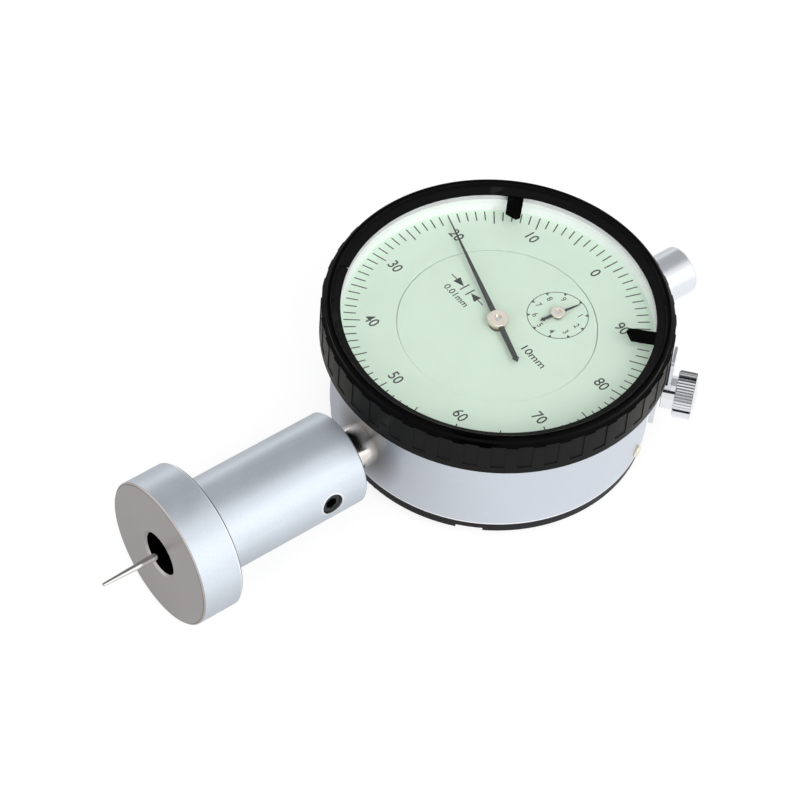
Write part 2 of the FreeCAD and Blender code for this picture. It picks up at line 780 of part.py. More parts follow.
def lower_movement_plate():
    plate = on_dial_axis([(0, web_top_z), (plate_radius, web_top_z), (plate_radius, lower_plate_top_z),
                          (0, lower_plate_top_z)])
    cuts = [plate_hole(rack_axis_x, rack_axis_y, rack_pinion_pitch_radius + 0.7),
            plate_hole(0, dial_centre_y, jewel_radius), plate_hole(small_dial_x, small_dial_y, jewel_radius)]
    for a in lower_screw_angles + pillar_angles:
        spot = clock(a, pillar_circle)
        cuts.append(plate_hole(spot.x, spot.y, small_screw_radius + 0.05))
    return plate.cut(cuts)


def lower_plate_screws():
    return Part.makeCompound([
        slotted_screw(small_screw_radius, small_screw_head_radius, small_screw_head_height,
                      plate_thickness + web_thickness, clock(a, pillar_circle, lower_plate_top_z), Z)
        for a in lower_screw_angles])


def plate_pillars():
    pillars = []
    for a in pillar_angles:
        low = clock(a, pillar_circle, lower_plate_top_z)
        high = clock(a, pillar_circle, upper_plate_low_z)
        stud = rod(small_screw_radius, low - Z * plate_thickness, low + Z * 0.2)
        body = rod(pillar_radius, low, high).fuse(stud)
        pillars.append(body.cut(rod(small_screw_radius, high - Z * pillar_screw_depth * 1.1, high + Z)))
    return Part.makeCompound(pillars)


def upper_movement_plate():
    plate = on_dial_axis([(0, upper_plate_low_z), (plate_radius, upper_plate_low_z),
                          (plate_radius, upper_plate_top_z), (0, upper_plate_top_z)])
    cuts = [plate_hole(rack_axis_x, rack_axis_y, jewel_radius),
            plate_hole(0, dial_centre_y, hand_jewel_radius),
            plate_hole(small_dial_x, small_dial_y, hand_jewel_radius)]
    for a in pillar_angles:
        spot = clock(a, pillar_circle)
        cuts.append(plate_hole(spot.x, spot.y, small_screw_radius + 0.05))
    stud = clock(small_dial_angle, gear_centre_distance + hairspring_outer_radius + hairspring_stud_radius)
    cuts.append(plate_hole(stud.x, stud.y, hairspring_stud_radius))
    return plate.cut(cuts)


def upper_plate_screws():
    return Part.makeCompound([
        slotted_screw(small_screw_radius, small_screw_head_radius, small_screw_head_height,
                      plate_thickness + pillar_screw_depth, clock(a, pillar_circle, upper_plate_top_z), Z)
        for a in pillar_angles])


def pinion_bridge():
    half = bridge_width / 2
    floor = box((bridge_far_x, rack_axis_y - half, bridge_floor_low_z),
                (bridge_near_x, rack_axis_y + half, bridge_floor_top_z))
    post = box((bridge_far_x, rack_axis_y - half, bridge_floor_low_z),
               (bridge_far_x + bridge_post_width, rack_axis_y + half, web_low_z))
    jewel_hole = rod(jewel_radius, V(rack_axis_x, rack_axis_y, bridge_floor_low_z - 1),
                     V(rack_axis_x, rack_axis_y, bridge_floor_top_z + 1))
    screw_x = bridge_far_x + bridge_post_width / 2
    screw_hole = rod(small_screw_radius + 0.05, V(screw_x, rack_axis_y, bridge_floor_low_z - 1),
                     V(screw_x, rack_axis_y, web_low_z + 1))
    return fused([floor, post]).cut([jewel_hole, screw_hole])


def pinion_bridge_screw():
    length = web_low_z - bridge_floor_low_z + web_thickness - 0.4
    return slotted_screw(small_screw_radius, small_screw_head_radius, bridge_screw_head_height, length,
                         V(bridge_far_x + bridge_post_width / 2, rack_axis_y, bridge_floor_low_z), -Z)


def movement_jewels():
    """Ring jewels: pivot jewels in the lower plate and the bridge, hand jewels in the upper plate."""
    pivot_bore = pivot_radius + pivot_gap
    hand_bore = hand_arbor_radius + pivot_gap
    places = [(0, dial_centre_y, web_top_z, jewel_radius, pivot_bore),
              (small_dial_x, small_dial_y, web_top_z, jewel_radius, pivot_bore),
              (rack_axis_x, rack_axis_y, bridge_floor_low_z, jewel_radius, pivot_bore),
              (rack_axis_x, rack_axis_y, upper_plate_low_z, jewel_radius, pivot_bore),
              (0, dial_centre_y, upper_plate_low_z, hand_jewel_radius, hand_bore),
              (small_dial_x, small_dial_y, upper_plate_low_z, hand_jewel_radius, hand_bore)]
    return Part.makeCompound([
        tube(outer, bore, V(x, y, z + jewel_inset), V(x, y, z + plate_thickness - jewel_inset))
        for x, y, z, outer, bore in places])


def rack_pinion_arbor():
    here = V(rack_axis_x, rack_axis_y, 0)
    low = bridge_floor_top_z + 0.1
    high = upper_plate_low_z - 0.1
    arbor = turned([(0, bridge_floor_low_z + 0.1), (pivot_radius, bridge_floor_low_z + 0.1),
                    (pivot_radius, low),
                    (rack_arbor_radius, low), (rack_arbor_radius, high), (pivot_radius, high),
                    (pivot_radius, upper_plate_top_z - 0.1), (0, upper_plate_top_z - 0.1)], here, Z)
    teeth = pinion(rack_pinion_teeth, -pinion_half_height, pinion_half_height, rack_pinion_phase)
    teeth.translate(here)
    return arbor.fuse(teeth)


def rack_wheel():
    gear = wheel(rack_wheel_phase, rack_arbor_radius)
    gear.translate(V(rack_axis_x, rack_axis_y, 0))
    return gear


def hand_arbor(x, y, top):
    """Arbor that turns in the lower plate's jewel and carries a hand through the upper plate."""
    low = lower_plate_top_z + 0.1
    return turned([(0, web_top_z + 0.1), (pivot_radius, web_top_z + 0.1), (pivot_radius, low),
                   (hand_arbor_radius, low), (hand_arbor_radius, top), (0, top)], V(x, y, 0), Z)


def centre_pinion_arbor():
    top = main_hand_low_z + main_hand_thickness + main_hub_height * 0.6
    arbor = hand_arbor(0, dial_centre_y, top)
    teeth = pinion(centre_pinion_teeth, centre_pinion_low_z, centre_pinion_high_z, centre_phase)
    teeth.translate(V(0, dial_centre_y, 0))
    return arbor.fuse(teeth)


def take_up_arbor():
    return hand_arbor(small_dial_x, small_dial_y,
                      small_hand_low_z + small_hand_thickness + small_hub_height * 0.6)


def take_up_wheel():
    gear = wheel(take_up_phase, hand_arbor_radius)
    gear.translate(V(small_dial_x, small_dial_y, 0))
    return gear


def hairspring_collet():
    return tube(collet_radius, hand_arbor_radius, V(small_dial_x, small_dial_y, wheel_top_z),
                V(small_dial_x, small_dial_y, hairspring_low_z + hairspring_height + 0.1))


def hairspring():
    """Flat spiral strip from the collet out to the stud."""
    steps = 24 * hairspring_turns
    end_angle = radians(90 - small_dial_angle)
    sides = []
    for offset in (0, hairspring_thickness):
        points = []
        for i in range(steps + 1):
            share = i / steps
            radius = hairspring_inner_radius + (hairspring_outer_radius - hairspring_inner_radius
                                                - hairspring_thickness) * share + offset
            angle = end_angle - 2 * pi * hairspring_turns * (1 - share)
            points.append(V(radius * cos(angle), radius * sin(angle), 0))
        curve = Part.BSplineCurve()
        curve.interpolate(points)
        sides.append((curve.toShape(), points))
    (inner, inner_points), (outer, outer_points) = sides
    wire = Part.Wire([inner, Part.makeLine(inner_points[-1], outer_points[-1]), outer,
                      Part.makeLine(outer_points[0], inner_points[0])])
    face = Part.Face(wire)
    face.translate(V(small_dial_x, small_dial_y, hairspring_low_z))
    return face.extrude(V(0, 0, hairspring_height))


def hairspring_stud():
    foot = clock(small_dial_angle, gear_centre_distance + hairspring_outer_radius + hairspring_stud_radius)
    return rod(hairspring_stud_radius, V(foot.x, foot.y, hairspring_low_z - 0.1),
               V(foot.x, foot.y, upper_plate_top_z))


# Dials and hands

def inner_dial():
    top = dial_face_z - inner_dial_drop
    disc = on_dial_axis([(0, dial_back_z), (inner_dial_radius, dial_back_z),
                         (inner_dial_radius, top, 0.12), (0, top)])
    feet = [rod(dial_foot_radius, clock(a, dial_foot_circle, upper_plate_top_z),
                clock(a, dial_foot_circle, dial_back_z + 0.1)) for a in dial_foot_angles]
    holes = [rod(inner_dial_hole_radius, V(0, dial_centre_y, 0), V(0, dial_centre_y, dial_face_z)),
             rod(small_dial_hole_radius, V(small_dial_x, small_dial_y, 0),
                 V(small_dial_x, small_dial_y, dial_face_z))]
    return fused([disc] + feet).cut(holes)


def outer_dial():
    inner = inner_dial_radius + dial_split_gap
    return on_dial_axis([(inner, dial_back_z), (dial_ring_radius - seat_gap, dial_back_z),
                         (dial_ring_radius - seat_gap, dial_face_z), (inner, dial_face_z)])


def hand(length, tail, root, tip, arrow, low, thickness, bore):
    """Tapered hand about the origin that points along +Y, with a pointed arrow at its tail."""
    outline = [(-tip / 2, length - 0.5), (0, length), (tip / 2, length - 0.5), (root / 2, root),
               (root * 0.5, -root), (root * 0.42, -tail + 1.9 * arrow), (arrow, -tail + 1.5 * arrow),
               (0, -tail), (-arrow, -tail + 1.5 * arrow), (-root * 0.42, -tail + 1.9 * arrow),
               (-root * 0.5, -root),
               (-root / 2, root)]
    blade = slab(outline, low, low + thickness)
    boss = Part.makeCylinder(root * 1.15, thickness, V(0, 0, low), Z)
    return fused([blade, boss]).cut(Part.makeCylinder(bore, 5, V(0, 0, low - 1), Z))


def main_hand():
    shape = hand(main_hand_length, main_hand_tail, main_hand_root_width, main_hand_tip_width, 0.62,
                 main_hand_low_z, main_hand_thickness, hand_arbor_radius)
    return at_clock(shape, main_hand_angle)


def revolution_hand():
    shape = hand(small_hand_length, small_hand_tail, small_hand_root_width, small_hand_tip_width, 0.45,
                 small_hand_low_z, small_hand_thickness, hand_arbor_radius)
    shape.rotate(V(0, 0, 0), Z, -small_hand_angle)
    shape.translate(V(small_dial_x, small_dial_y, 0))
    return shape


def hand_bush(x, y, radius, low, high):
    return tube(radius, hand_arbor_radius, V(x, y, low), V(x, y, high))


def hand_hub(x, y, radius, low, high, recess):
    """Nickel cap over a hand: a low drum with a round recess in its top."""
    return turned([(hand_arbor_radius, low), (radius, low), (radius, high, 0.12), (recess, high),
                   (recess, high - (high - low) * 0.45), (hand_arbor_radius, high - (high - low) * 0.45)],
                  V(x, y, 0), Z)


def main_hand_bush():
    return hand_bush(0, dial_centre_y, main_bush_radius, main_hand_low_z - main_bush_drop, main_hand_low_z)


def main_hand_hub():
    low = main_hand_low_z + main_hand_thickness
    return hand_hub(0, dial_centre_y, main_hub_radius, low, low + main_hub_height, main_hub_recess_radius)


def revolution_hand_bush():
    return hand_bush(small_dial_x, small_dial_y, small_bush_radius, small_hand_low_z - small_bush_drop,
                     small_hand_low_z)


def revolution_hand_hub():
    low = small_hand_low_z + small_hand_thickness
    return hand_hub(small_dial_x, small_dial_y, small_hub_radius, low, low + small_hub_height,
                    small_hub_recess_radius)


# Bezel

def grip_pocket():
    """Cutter for one shallow finger pocket in the bezel's side, at 12 o'clock."""
    half_width = bezel_radius * sin(radians(grip_pocket_angle / 2))
    outline = [(-half_width, grip_pocket_low_z), (half_width, grip_pocket_low_z),
               (half_width, grip_pocket_top_z, grip_pocket_round),
               (-half_width, grip_pocket_top_z, grip_pocket_round)]
    blank = slab(outline, 0, 3)
    blank.Placement = FreeCAD.Placement(V(0, bezel_radius + 1, 0), FreeCAD.Rotation(X, 90))
    floor = Part.makeCylinder(bezel_radius - grip_pocket_depth, bezel_top_z, V(0, 0, 0), Z)
    return blank.cut(floor)


def bezel():
    bore = neck_radius + turn_gap
    wire_room = neck_radius - wire_groove_depth + 2 * wire_radius + turn_gap
    groove_low = wire_groove_low_z - 0.1
    groove_high = wire_groove_low_z + wire_groove_width + 0.1
    body = on_dial_axis([
        (bore, bezel_low_z), (case_radius + 0.2, bezel_low_z), (bezel_radius, bezel_edge_low_z, 0.15),
        (bezel_radius, bezel_shoulder_z), (bezel_rim_radius, bezel_shoulder_z + bezel_shoulder_rise),
        (bezel_rim_radius - 0.12, bezel_top_z - 0.35), (bezel_rim_radius - 0.47, bezel_top_z - 0.05),
        (bezel_rim_radius - 1.02, bezel_top_z, 0.08), (bezel_rim_radius - 1.24, bezel_top_z - 0.18),
        (split_ring_radius + 0.02, split_ring_outer_top_z), (split_ring_radius + 0.02, crystal_top_z),
        (dial_ring_radius, crystal_top_z), (dial_ring_radius, dial_back_z), (bore, dial_back_z),
        (bore, groove_high), (wire_room, groove_high), (wire_room, groove_low), (bore, groove_low)])
    pocket = grip_pocket()
    pockets = []
    for i in range(grip_pockets):
        pockets.append(at_clock(pocket.copy(), grip_pocket_phase + 360.0 * i / grip_pockets))
    return body.cut(pockets)


def dial_wall_ring():
    return on_dial_axis([
        (wall_ring_inner_radius, dial_face_z), (dial_ring_radius - seat_gap, dial_face_z),
        (dial_ring_radius - seat_gap, wall_ring_top_z), (wall_ring_inner_radius + 0.1, wall_ring_top_z)])


def crystal():
    return on_dial_axis([(0, wall_ring_top_z), (dial_ring_radius - seat_gap, wall_ring_top_z),
                         (dial_ring_radius - seat_gap, crystal_top_z, 0.1), (0, crystal_top_z)])


def crystal_split_ring():
    seat_inner = split_ring_radius - split_ring_seat_width
    ring = on_dial_axis([
        (bezel_lip_radius, split_ring_lip_z), (seat_inner, split_ring_lip_z), (seat_inner, crystal_top_z),
        (split_ring_radius, crystal_top_z), (split_ring_radius, split_ring_outer_top_z),
        (bezel_lip_radius, bezel_lip_top_z)])
    gap = box((-split_ring_gap / 2, bezel_lip_radius - 1, crystal_top_z - 1),
              (split_ring_gap / 2, split_ring_radius + 1, bezel_top_z))
    gap.rotate(V(0, split_ring_radius, 0), Z, 25)
    return ring.cut(at_clock(gap, split_ring_gap_angle))


def bezel_wire_ring():
    centre_radius = neck_radius - wire_groove_depth + wire_radius + 0.02
    ring = Part.makeTorus(centre_radius, wire_radius,
                          V(0, dial_centre_y, wire_groove_low_z + wire_groove_width / 2), Z)
    gap = at_clock(box((-wire_gap / 2, neck_radius / 2, 0), (wire_gap / 2, bezel_radius, bezel_top_z)), 180)
    return ring.cut(gap)


def limit_hand(angle, side):
    """Flat tolerance marker. side is +1 where its long edge lies clockwise, -1 for the other way."""
    half = limit_hand_width / 2
    low = limit_hand_low_z
    high = low + limit_hand_thickness
    tab = slab([(-half * side, limit_hand_foot_outer_radius - 0.3),
                (-half * side, limit_hand_short_side_radius, 0.2),
                (half * 0.45 * side, limit_hand_tip_radius, 0.15),
                (half * side, limit_hand_tip_radius + 0.55, 0.15),
                (half * 1.1 * side, limit_hand_foot_outer_radius - 0.3)], low, high)
    foot = Part.makeCylinder(limit_hand_foot_outer_radius, limit_hand_thickness, V(0, 0, low), Z,
                             limit_hand_foot_angle)
    foot = foot.cut(Part.makeCylinder(limit_hand_foot_inner_radius, 2, V(0, 0, low - 0.5), Z))
    foot.rotate(V(0, 0, 0), Z, 90 - limit_hand_foot_angle / 2)
    return at_clock(fused([tab, foot]), angle)


def limit_hand_left():
    return limit_hand(limit_hand_angles[0], 1)


def limit_hand_right():
    return limit_hand(limit_hand_angles[1], -1)


# Bezel clamp

def clamp_strip():
    """Plate on the case's pad, with a tongue that steps out round the bezel's edge and up its side."""
    inner = clamp_pad_radius + strip_gap
    outer = inner + strip_thickness
    half = strip_length / 2
    bar = slab([(-half, strip_low_z, strip_corner), (half, strip_low_z, strip_corner),
                (half, strip_high_z, strip_corner), (-half, strip_high_z, strip_corner)], 0, strip_thickness)
    bar.Placement = FreeCAD.Placement(V(0, outer, 0), FreeCAD.Rotation(X, 90))
    tongue_inner = bezel_radius + tongue_gap
    tongue_outer = tongue_inner + tongue_thickness
    half = tongue_width / 2
    root_z = strip_high_z - tongue_root_height
    root = box((-half, inner, root_z), (half, tongue_outer, strip_high_z))
    tongue = slab([(-half, root_z), (half, root_z), (half, tongue_top_z, tongue_corner),
                   (-half, tongue_top_z, tongue_corner)], 0, tongue_thickness)
    tongue.Placement = FreeCAD.Placement(V(0, tongue_outer, 0), FreeCAD.Rotation(X, 90))
    hole = rod(clamp_shank_radius + clamp_hole_gap, V(0, inner - 1, clamp_z), V(0, outer + 1, clamp_z))
    return at_clock(fused([bar, root, tongue]).cut(hole), clamp_angle)


def clamp_screw():
    shoulder = clamp_pad_radius + strip_gap + strip_thickness + clamp_shoulder_gap
    head_start = shoulder + clamp_neck_length
    head_end = head_start + clamp_head_length
    shank = turned([(0, case_inner_radius + 0.2), (clamp_shank_radius, case_inner_radius + 0.2),
                    (clamp_shank_radius, shoulder), (clamp_neck_radius, shoulder, 0.15),
                    (clamp_neck_radius, head_start + 0.2), (0, head_start + 0.2)], V(0, 0, clamp_z), Y)
    flutes = []
    for i in range(clamp_flutes):
        for share, radius in ((0, clamp_head_radius), (0.5, clamp_head_radius - clamp_flute_depth)):
            angle = 2 * pi * (i + share) / clamp_flutes
            flutes.append((radius * cos(angle), radius * sin(angle)))
    knurl = slab(flutes, 0, clamp_head_length)
    knurl.Placement = FreeCAD.Placement(V(0, head_start, clamp_z), FreeCAD.Rotation(Z, Y))
    crown_radius = clamp_head_radius - clamp_flute_depth
    rounding = turned([(0, head_start), (clamp_head_radius - 0.25, head_start),
                       (clamp_head_radius, head_start + 0.25), (clamp_head_radius, head_end - 0.25),
                       (clamp_head_radius - 0.25, head_end), (0, head_end)],
                      V(0, 0, clamp_z), Y)
    sphere_radius = (crown_radius ** 2 + clamp_dome_height ** 2) / (2 * clamp_dome_height)
    dome = Part.makeSphere(sphere_radius, V(0, head_end + clamp_dome_height - sphere_radius, clamp_z))
    dome = dome.common(rod(crown_radius + 1, V(0, head_end - 0.1, clamp_z), V(0, head_end + 2, clamp_z)))
    return at_clock(fused([shank, knurl.common(rounding), dome]), clamp_angle)


pieces = {
    "measuring_base": measuring_base,
    "base_set_screw": base_set_screw,
    "stem": stem,
    "stem_bushes": stem_bushes,
    "case_body": case_body,
    "case_plug_screw": case_plug_screw,
    "back_cover": back_cover,
    "back_cover_screws": back_cover_screws,
    "back_cover_seal": back_cover_seal,
    "top_bush": top_bush,
    "dust_cap": dust_cap,
    "spindle_rack": spindle_rack,
    "guide_pin": guide_pin,
    "needle_holder": needle_holder,
    "needle_point": needle_point,
    "guide_plate": guide_plate,
    "guide_plate_screws": guide_plate_screws,
    "spring_post": spring_post,
    "return_spring": return_spring,
    "lower_movement_plate": lower_movement_plate,
    "lower_plate_screws": lower_plate_screws,
    "plate_pillars": plate_pillars,
    "upper_movement_plate": upper_movement_plate,
    "upper_plate_screws": upper_plate_screws,
    "pinion_bridge": pinion_bridge,
    "pinion_bridge_screw": pinion_bridge_screw,
    "movement_jewels": movement_jewels,
    "rack_pinion_arbor": rack_pinion_arbor,
    "rack_wheel": rack_wheel,
    "centre_pinion_arbor": centre_pinion_arbor,
    "take_up_arbor": take_up_arbor,
    "take_up_wheel": take_up_wheel,
    "hairspring_collet": hairspring_collet,
    "hairspring": hairspring,
    "hairspring_stud": hairspring_stud,
    "inner_dial": inner_dial,
    "outer_dial": outer_dial,
    "main_hand": main_hand,
    "main_hand_bush": main_hand_bush,
    "main_hand_hub": main_hand_hub,
    "revolution_hand": revolution_hand,
    "revolution_hand_bush": revolution_hand_bush,
    "revolution_hand_hub": revolution_hand_hub,
    "bezel": bezel,
    "dial_wall_ring": dial_wall_ring,
    "crystal": crystal,
    "crystal_split_ring": crystal_split_ring,
    "bezel_wire_ring": bezel_wire_ring,
    "limit_hand_left": limit_hand_left,
    "limit_hand_right": limit_hand_right,
    "clamp_strip": clamp_strip,
    "clamp_screw": clamp_screw,
}

os.makedirs("parts", exist_ok=True)
for name, make in pieces.items():
    shape = make()
    print(name, "solids", len(shape.Solids), "valid", shape.isValid(), "volume %.2f" % shape.Volume)
    shape.exportStep("parts/%s.step" % name)
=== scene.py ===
from math import cos, radians, sin

import bmesh
import bpy
from mathutils import Matrix, Vector


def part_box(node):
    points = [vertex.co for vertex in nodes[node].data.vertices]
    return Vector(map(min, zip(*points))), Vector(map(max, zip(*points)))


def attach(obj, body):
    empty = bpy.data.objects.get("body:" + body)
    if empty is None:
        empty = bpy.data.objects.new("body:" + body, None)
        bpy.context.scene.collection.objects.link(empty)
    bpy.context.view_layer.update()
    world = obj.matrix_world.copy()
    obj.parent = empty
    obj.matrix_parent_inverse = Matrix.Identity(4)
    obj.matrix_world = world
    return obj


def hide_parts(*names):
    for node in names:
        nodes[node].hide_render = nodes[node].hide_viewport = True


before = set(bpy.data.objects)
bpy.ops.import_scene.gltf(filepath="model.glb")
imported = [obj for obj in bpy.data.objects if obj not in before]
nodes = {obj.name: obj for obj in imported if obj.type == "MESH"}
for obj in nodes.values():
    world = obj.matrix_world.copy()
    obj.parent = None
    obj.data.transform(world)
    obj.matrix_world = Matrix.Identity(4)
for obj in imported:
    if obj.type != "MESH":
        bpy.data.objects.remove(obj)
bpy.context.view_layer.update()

scene = bpy.context.scene
mm = 0.001
print("frame loaded with %d nodes" % len(nodes))

outerLow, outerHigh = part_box("outer_dial")
dialCentre = (outerLow + outerHigh) / 2
dialFace = outerHigh.z
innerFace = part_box("inner_dial")[1].z
smallLow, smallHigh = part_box("revolution_hand_hub")
smallCentre = (smallLow + smallHigh) / 2
spindleAxis = (0.0, 1.0, 0.0)
dialAxis = (0.0, 0.0, 1.0)
clampAngle = radians(49.5)  # from +Y towards +X, where the bezel's clamp stands
clampAxis = (sin(clampAngle), cos(clampAngle), 0.0)


def nodeMiddle(name):
    low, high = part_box(name)
    return tuple((low + high) / 2)


# Node helpers

def put(tree, kind, values=None, **settings):
    node = tree.nodes.new(kind)
    for name, value in settings.items():
        setattr(node, name, value)
    for name, value in (values or {}).items():
        node.inputs[name].default_value = value
    return node


def join(tree, start, end):
    tree.links.new(end, start)


def math(tree, operation, first, second):
    node = put(tree, "ShaderNodeMath", operation=operation)
    for socket, value in zip(node.inputs, (first, second)):
        if isinstance(value, (int, float)):
            socket.default_value = value
        else:
            join(tree, value, socket)
    return node.outputs[0]


def spread(tree, value, low, high, newLow, newHigh):
    limits = {"From Min": low, "From Max": high, "To Min": newLow, "To Max": newHigh}
    node = put(tree, "ShaderNodeMapRange", limits)
    join(tree, value, node.inputs["Value"])
    return node.outputs["Result"]


def blendColour(tree, share, first, second):
    node = put(tree, "ShaderNodeMix", data_type="RGBA")
    for socket, value in zip((node.inputs[0], node.inputs[6], node.inputs[7]), (share, first, second)):
        if isinstance(value, (int, float)):
            socket.default_value = value
        elif isinstance(value, tuple):
            socket.default_value = value + (1,)
        else:
            join(tree, value, socket)
    return node.outputs[2]


# Camera, floor and studio

view = {
    "place": (293.595, -202.638, 466.582),  # mm, from the photo's perspective
    "aim": (-3.94, 53.735, 0.252),
    "up": (-0.63338, 0.43396, 0.64071),
    "lens": 157.1,
    "sensor": 36.0,
}


def makeCamera():
    camera = bpy.data.objects.new("photoCamera", bpy.data.cameras.new("photoCamera"))
    scene.collection.objects.link(camera)
    back = (Vector(view["place"]) - Vector(view["aim"])).normalized()
    right = Vector(view["up"]).cross(back).normalized()
    turn = Matrix((right, back.cross(right), back)).transposed().to_4x4()
    camera.matrix_world = Matrix.Translation(Vector(view["place"]) * mm) @ turn
    camera.data.lens = view["lens"]
    camera.data.sensor_width = view["sensor"]
    camera.data.clip_start = 0.02
    camera.data.clip_end = 20.0
    scene.camera = camera


def meshObject(name, shape):
    mesh = bpy.data.meshes.new(name)
    shape.to_mesh(mesh)
    shape.free()
    made = bpy.data.objects.new(name, mesh)
    scene.collection.objects.link(made)
    return made


def emptyMaterial(name):
    made = bpy.data.materials.new(name)
    made.use_nodes = True
    made.node_tree.nodes.clear()
    return made, made.node_tree


def backgroundRays(tree):
    path = put(tree, "ShaderNodeLightPath")
    seen = math(tree, "MAXIMUM", path.outputs["Is Camera Ray"], path.outputs["Is Glossy Ray"])
    seen = math(tree, "MAXIMUM", seen, path.outputs["Is Transmission Ray"])
    direct = math(tree, "LESS_THAN", path.outputs["Diffuse Depth"], 0.5)
    return math(tree, "MULTIPLY", seen, direct)


def mirrorSweep(tree):  # metals see the paper darker on the left of the stem than on the right of the case
    place = put(tree, "ShaderNodeTexCoord")
    apart = put(tree, "ShaderNodeSeparateXYZ")
    join(tree, place.outputs["Object"], apart.inputs[0])
    sweep = math(tree, "ADD", math(tree, "MULTIPLY", apart.outputs["X"], 0.7 / mm),
                 math(tree, "MULTIPLY", apart.outputs["Y"], 0.3 / mm))
    return spread(tree, sweep, floorValues["darkAt"], floorValues["lightAt"], floorValues["mirrorDark"],
                  floorValues["mirrorLight"])


floorValues = {
    "size": 3.0,
    "paper": 0.26,  # the share of the floor that answers to light and shadow
    "glow": 0.84,  # what camera and glass rays see besides
    "mirrorDark": 0.38, "mirrorLight": 0.86,  # what mirror rays see besides, from left to right
    "darkAt": 2.0, "lightAt": 38.0,  # mm along the sweep
    "flangeRest": (0.0, 8.0, -13.4),  # mm
    "coverRest": (0.0, 99.0, -9.56),
}


def makeFloor():
    near = Vector(floorValues["flangeRest"]) * mm
    along = (Vector(floorValues["coverRest"]) * mm - near).normalized()
    up = Vector((1, 0, 0)).cross(along)
    turn = Matrix((Vector((1, 0, 0)), along, up)).transposed().to_4x4()
    shape = bmesh.new()
    bmesh.ops.create_grid(shape, x_segments=1, y_segments=1, size=floorValues["size"] / 2)
    shape.transform(Matrix.Translation(near - up * 0.00002) @ turn)
    floor = meshObject("studioFloor", shape)
    paper, tree = emptyMaterial("floorPaper")
    diffuse = put(tree, "ShaderNodeBsdfDiffuse", {"Color": (floorValues["paper"],) * 3 + (1,)})
    glow = put(tree, "ShaderNodeEmission")
    level = put(tree, "ShaderNodeMix", data_type="FLOAT")
    join(tree, put(tree, "ShaderNodeLightPath").outputs["Is Glossy Ray"], level.inputs[0])
    level.inputs[2].default_value = floorValues["glow"]
    join(tree, mirrorSweep(tree), level.inputs[3])
    join(tree, level.outputs[0], glow.inputs["Strength"])
    dark = put(tree, "ShaderNodeEmission", {"Strength": 0.0})
    pick = put(tree, "ShaderNodeMixShader")
    join(tree, backgroundRays(tree), pick.inputs[0])
    join(tree, dark.outputs[0], pick.inputs[1])
    join(tree, glow.outputs[0], pick.inputs[2])
    both = put(tree, "ShaderNodeAddShader")
    join(tree, diffuse.outputs[0], both.inputs[0])
    join(tree, pick.outputs[0], both.inputs[1])
    under = put(tree, "ShaderNodeMixShader")  # from below, the floor is clear
    join(tree, put(tree, "ShaderNodeNewGeometry").outputs["Backfacing"], under.inputs[0])
    join(tree, both.outputs[0], under.inputs[1])
    join(tree, put(tree, "ShaderNodeBsdfTransparent").outputs[0], under.inputs[2])
    join(tree, under.outputs[0], put(tree, "ShaderNodeOutputMaterial").inputs["Surface"])
    floor.data.materials.append(paper)


worldValues = {"light": 0.55, "background": 1.0}


def makeWorld():
    world = bpy.data.worlds.new("studioWorld")
    scene.world = world
    world.use_nodes = True
    tree = world.node_tree
    tree.nodes.clear()
    shade = put(tree, "ShaderNodeBackground", {"Color": (1, 1, 1, 1)})
    level = spread(tree, backgroundRays(tree), 0, 1, worldValues["light"], worldValues["background"])
    join(tree, level, shade.inputs["Strength"])
    join(tree, shade.outputs[0], put(tree, "ShaderNodeOutputWorld").inputs["Surface"])


lampValues = {
    "keySoftbox": {"toward": (0.70, -0.10, 0.70), "far": 0.9, "size": 0.55, "watts": 3.2},
    "frontSoftbox": {"toward": (0.25, -0.85, 0.50), "far": 0.9, "size": 0.50, "watts": 1.6},
}
cardValues = {
    "greyCard": {"toward": (-0.45, 0.42, 0.78), "far": 0.8, "size": 1.05, "level": 0.46},
    "whiteCard": {"toward": (0.80, 0.42, 0.38), "far": 0.8, "size": 0.66, "level": 1.4},
    "lensCard": {"toward": (0.45, -0.48, 0.75), "far": 0.75, "size": 0.26, "level": 0.02},
}
studioAim = Vector((0.0, 0.055, 0.0))


def facing(toward, far):
    back = Vector(toward).normalized()
    return Matrix.Translation(studioAim + back * far) @ back.to_track_quat("Z", "Y").to_matrix().to_4x4()


def makeLamps():
    for name, lamp in lampValues.items():
        light = bpy.data.lights.new(name, "AREA")
        light.size = lamp["size"]
        light.energy = lamp["watts"]
        holder = bpy.data.objects.new(name, light)
        holder.matrix_world = facing(lamp["toward"], lamp["far"])
        holder.visible_glossy = False
        scene.collection.objects.link(holder)


def makeCards():
    for name, card in cardValues.items():  # reflector cards that only metal and gloss see
        shape = bmesh.new()
        bmesh.ops.create_grid(shape, x_segments=1, y_segments=1, size=card["size"] / 2)
        shape.transform(facing(card["toward"], card["far"]))
        made = meshObject(name, shape)
        paint, tree = emptyMaterial(name)
        shade = put(tree, "ShaderNodeEmission", {"Color": (1, 1, 1, 1), "Strength": card["level"]})
        join(tree, shade.outputs[0], put(tree, "ShaderNodeOutputMaterial").inputs["Surface"])
        made.data.materials.append(paint)
        made.visible_camera = False
        made.visible_diffuse = False
        made.visible_transmission = False
        made.visible_shadow = False


makeCamera()
makeFloor()
makeWorld()
makeLamps()
makeCards()
print("camera, floor and lamps set")


# Shared effects

def newGroup(name, inputs, outputs):
    group = bpy.data.node_groups.new(name, "ShaderNodeTree")
    for label, kind, value in inputs:
        socket = group.interface.new_socket(label, in_out="INPUT", socket_type=kind)
        socket.default_value = value
    for label in outputs:
        group.interface.new_socket(label, in_out="OUTPUT", socket_type="NodeSocketFloat")
    return group, put(group, "NodeGroupInput"), put(group, "NodeGroupOutput")


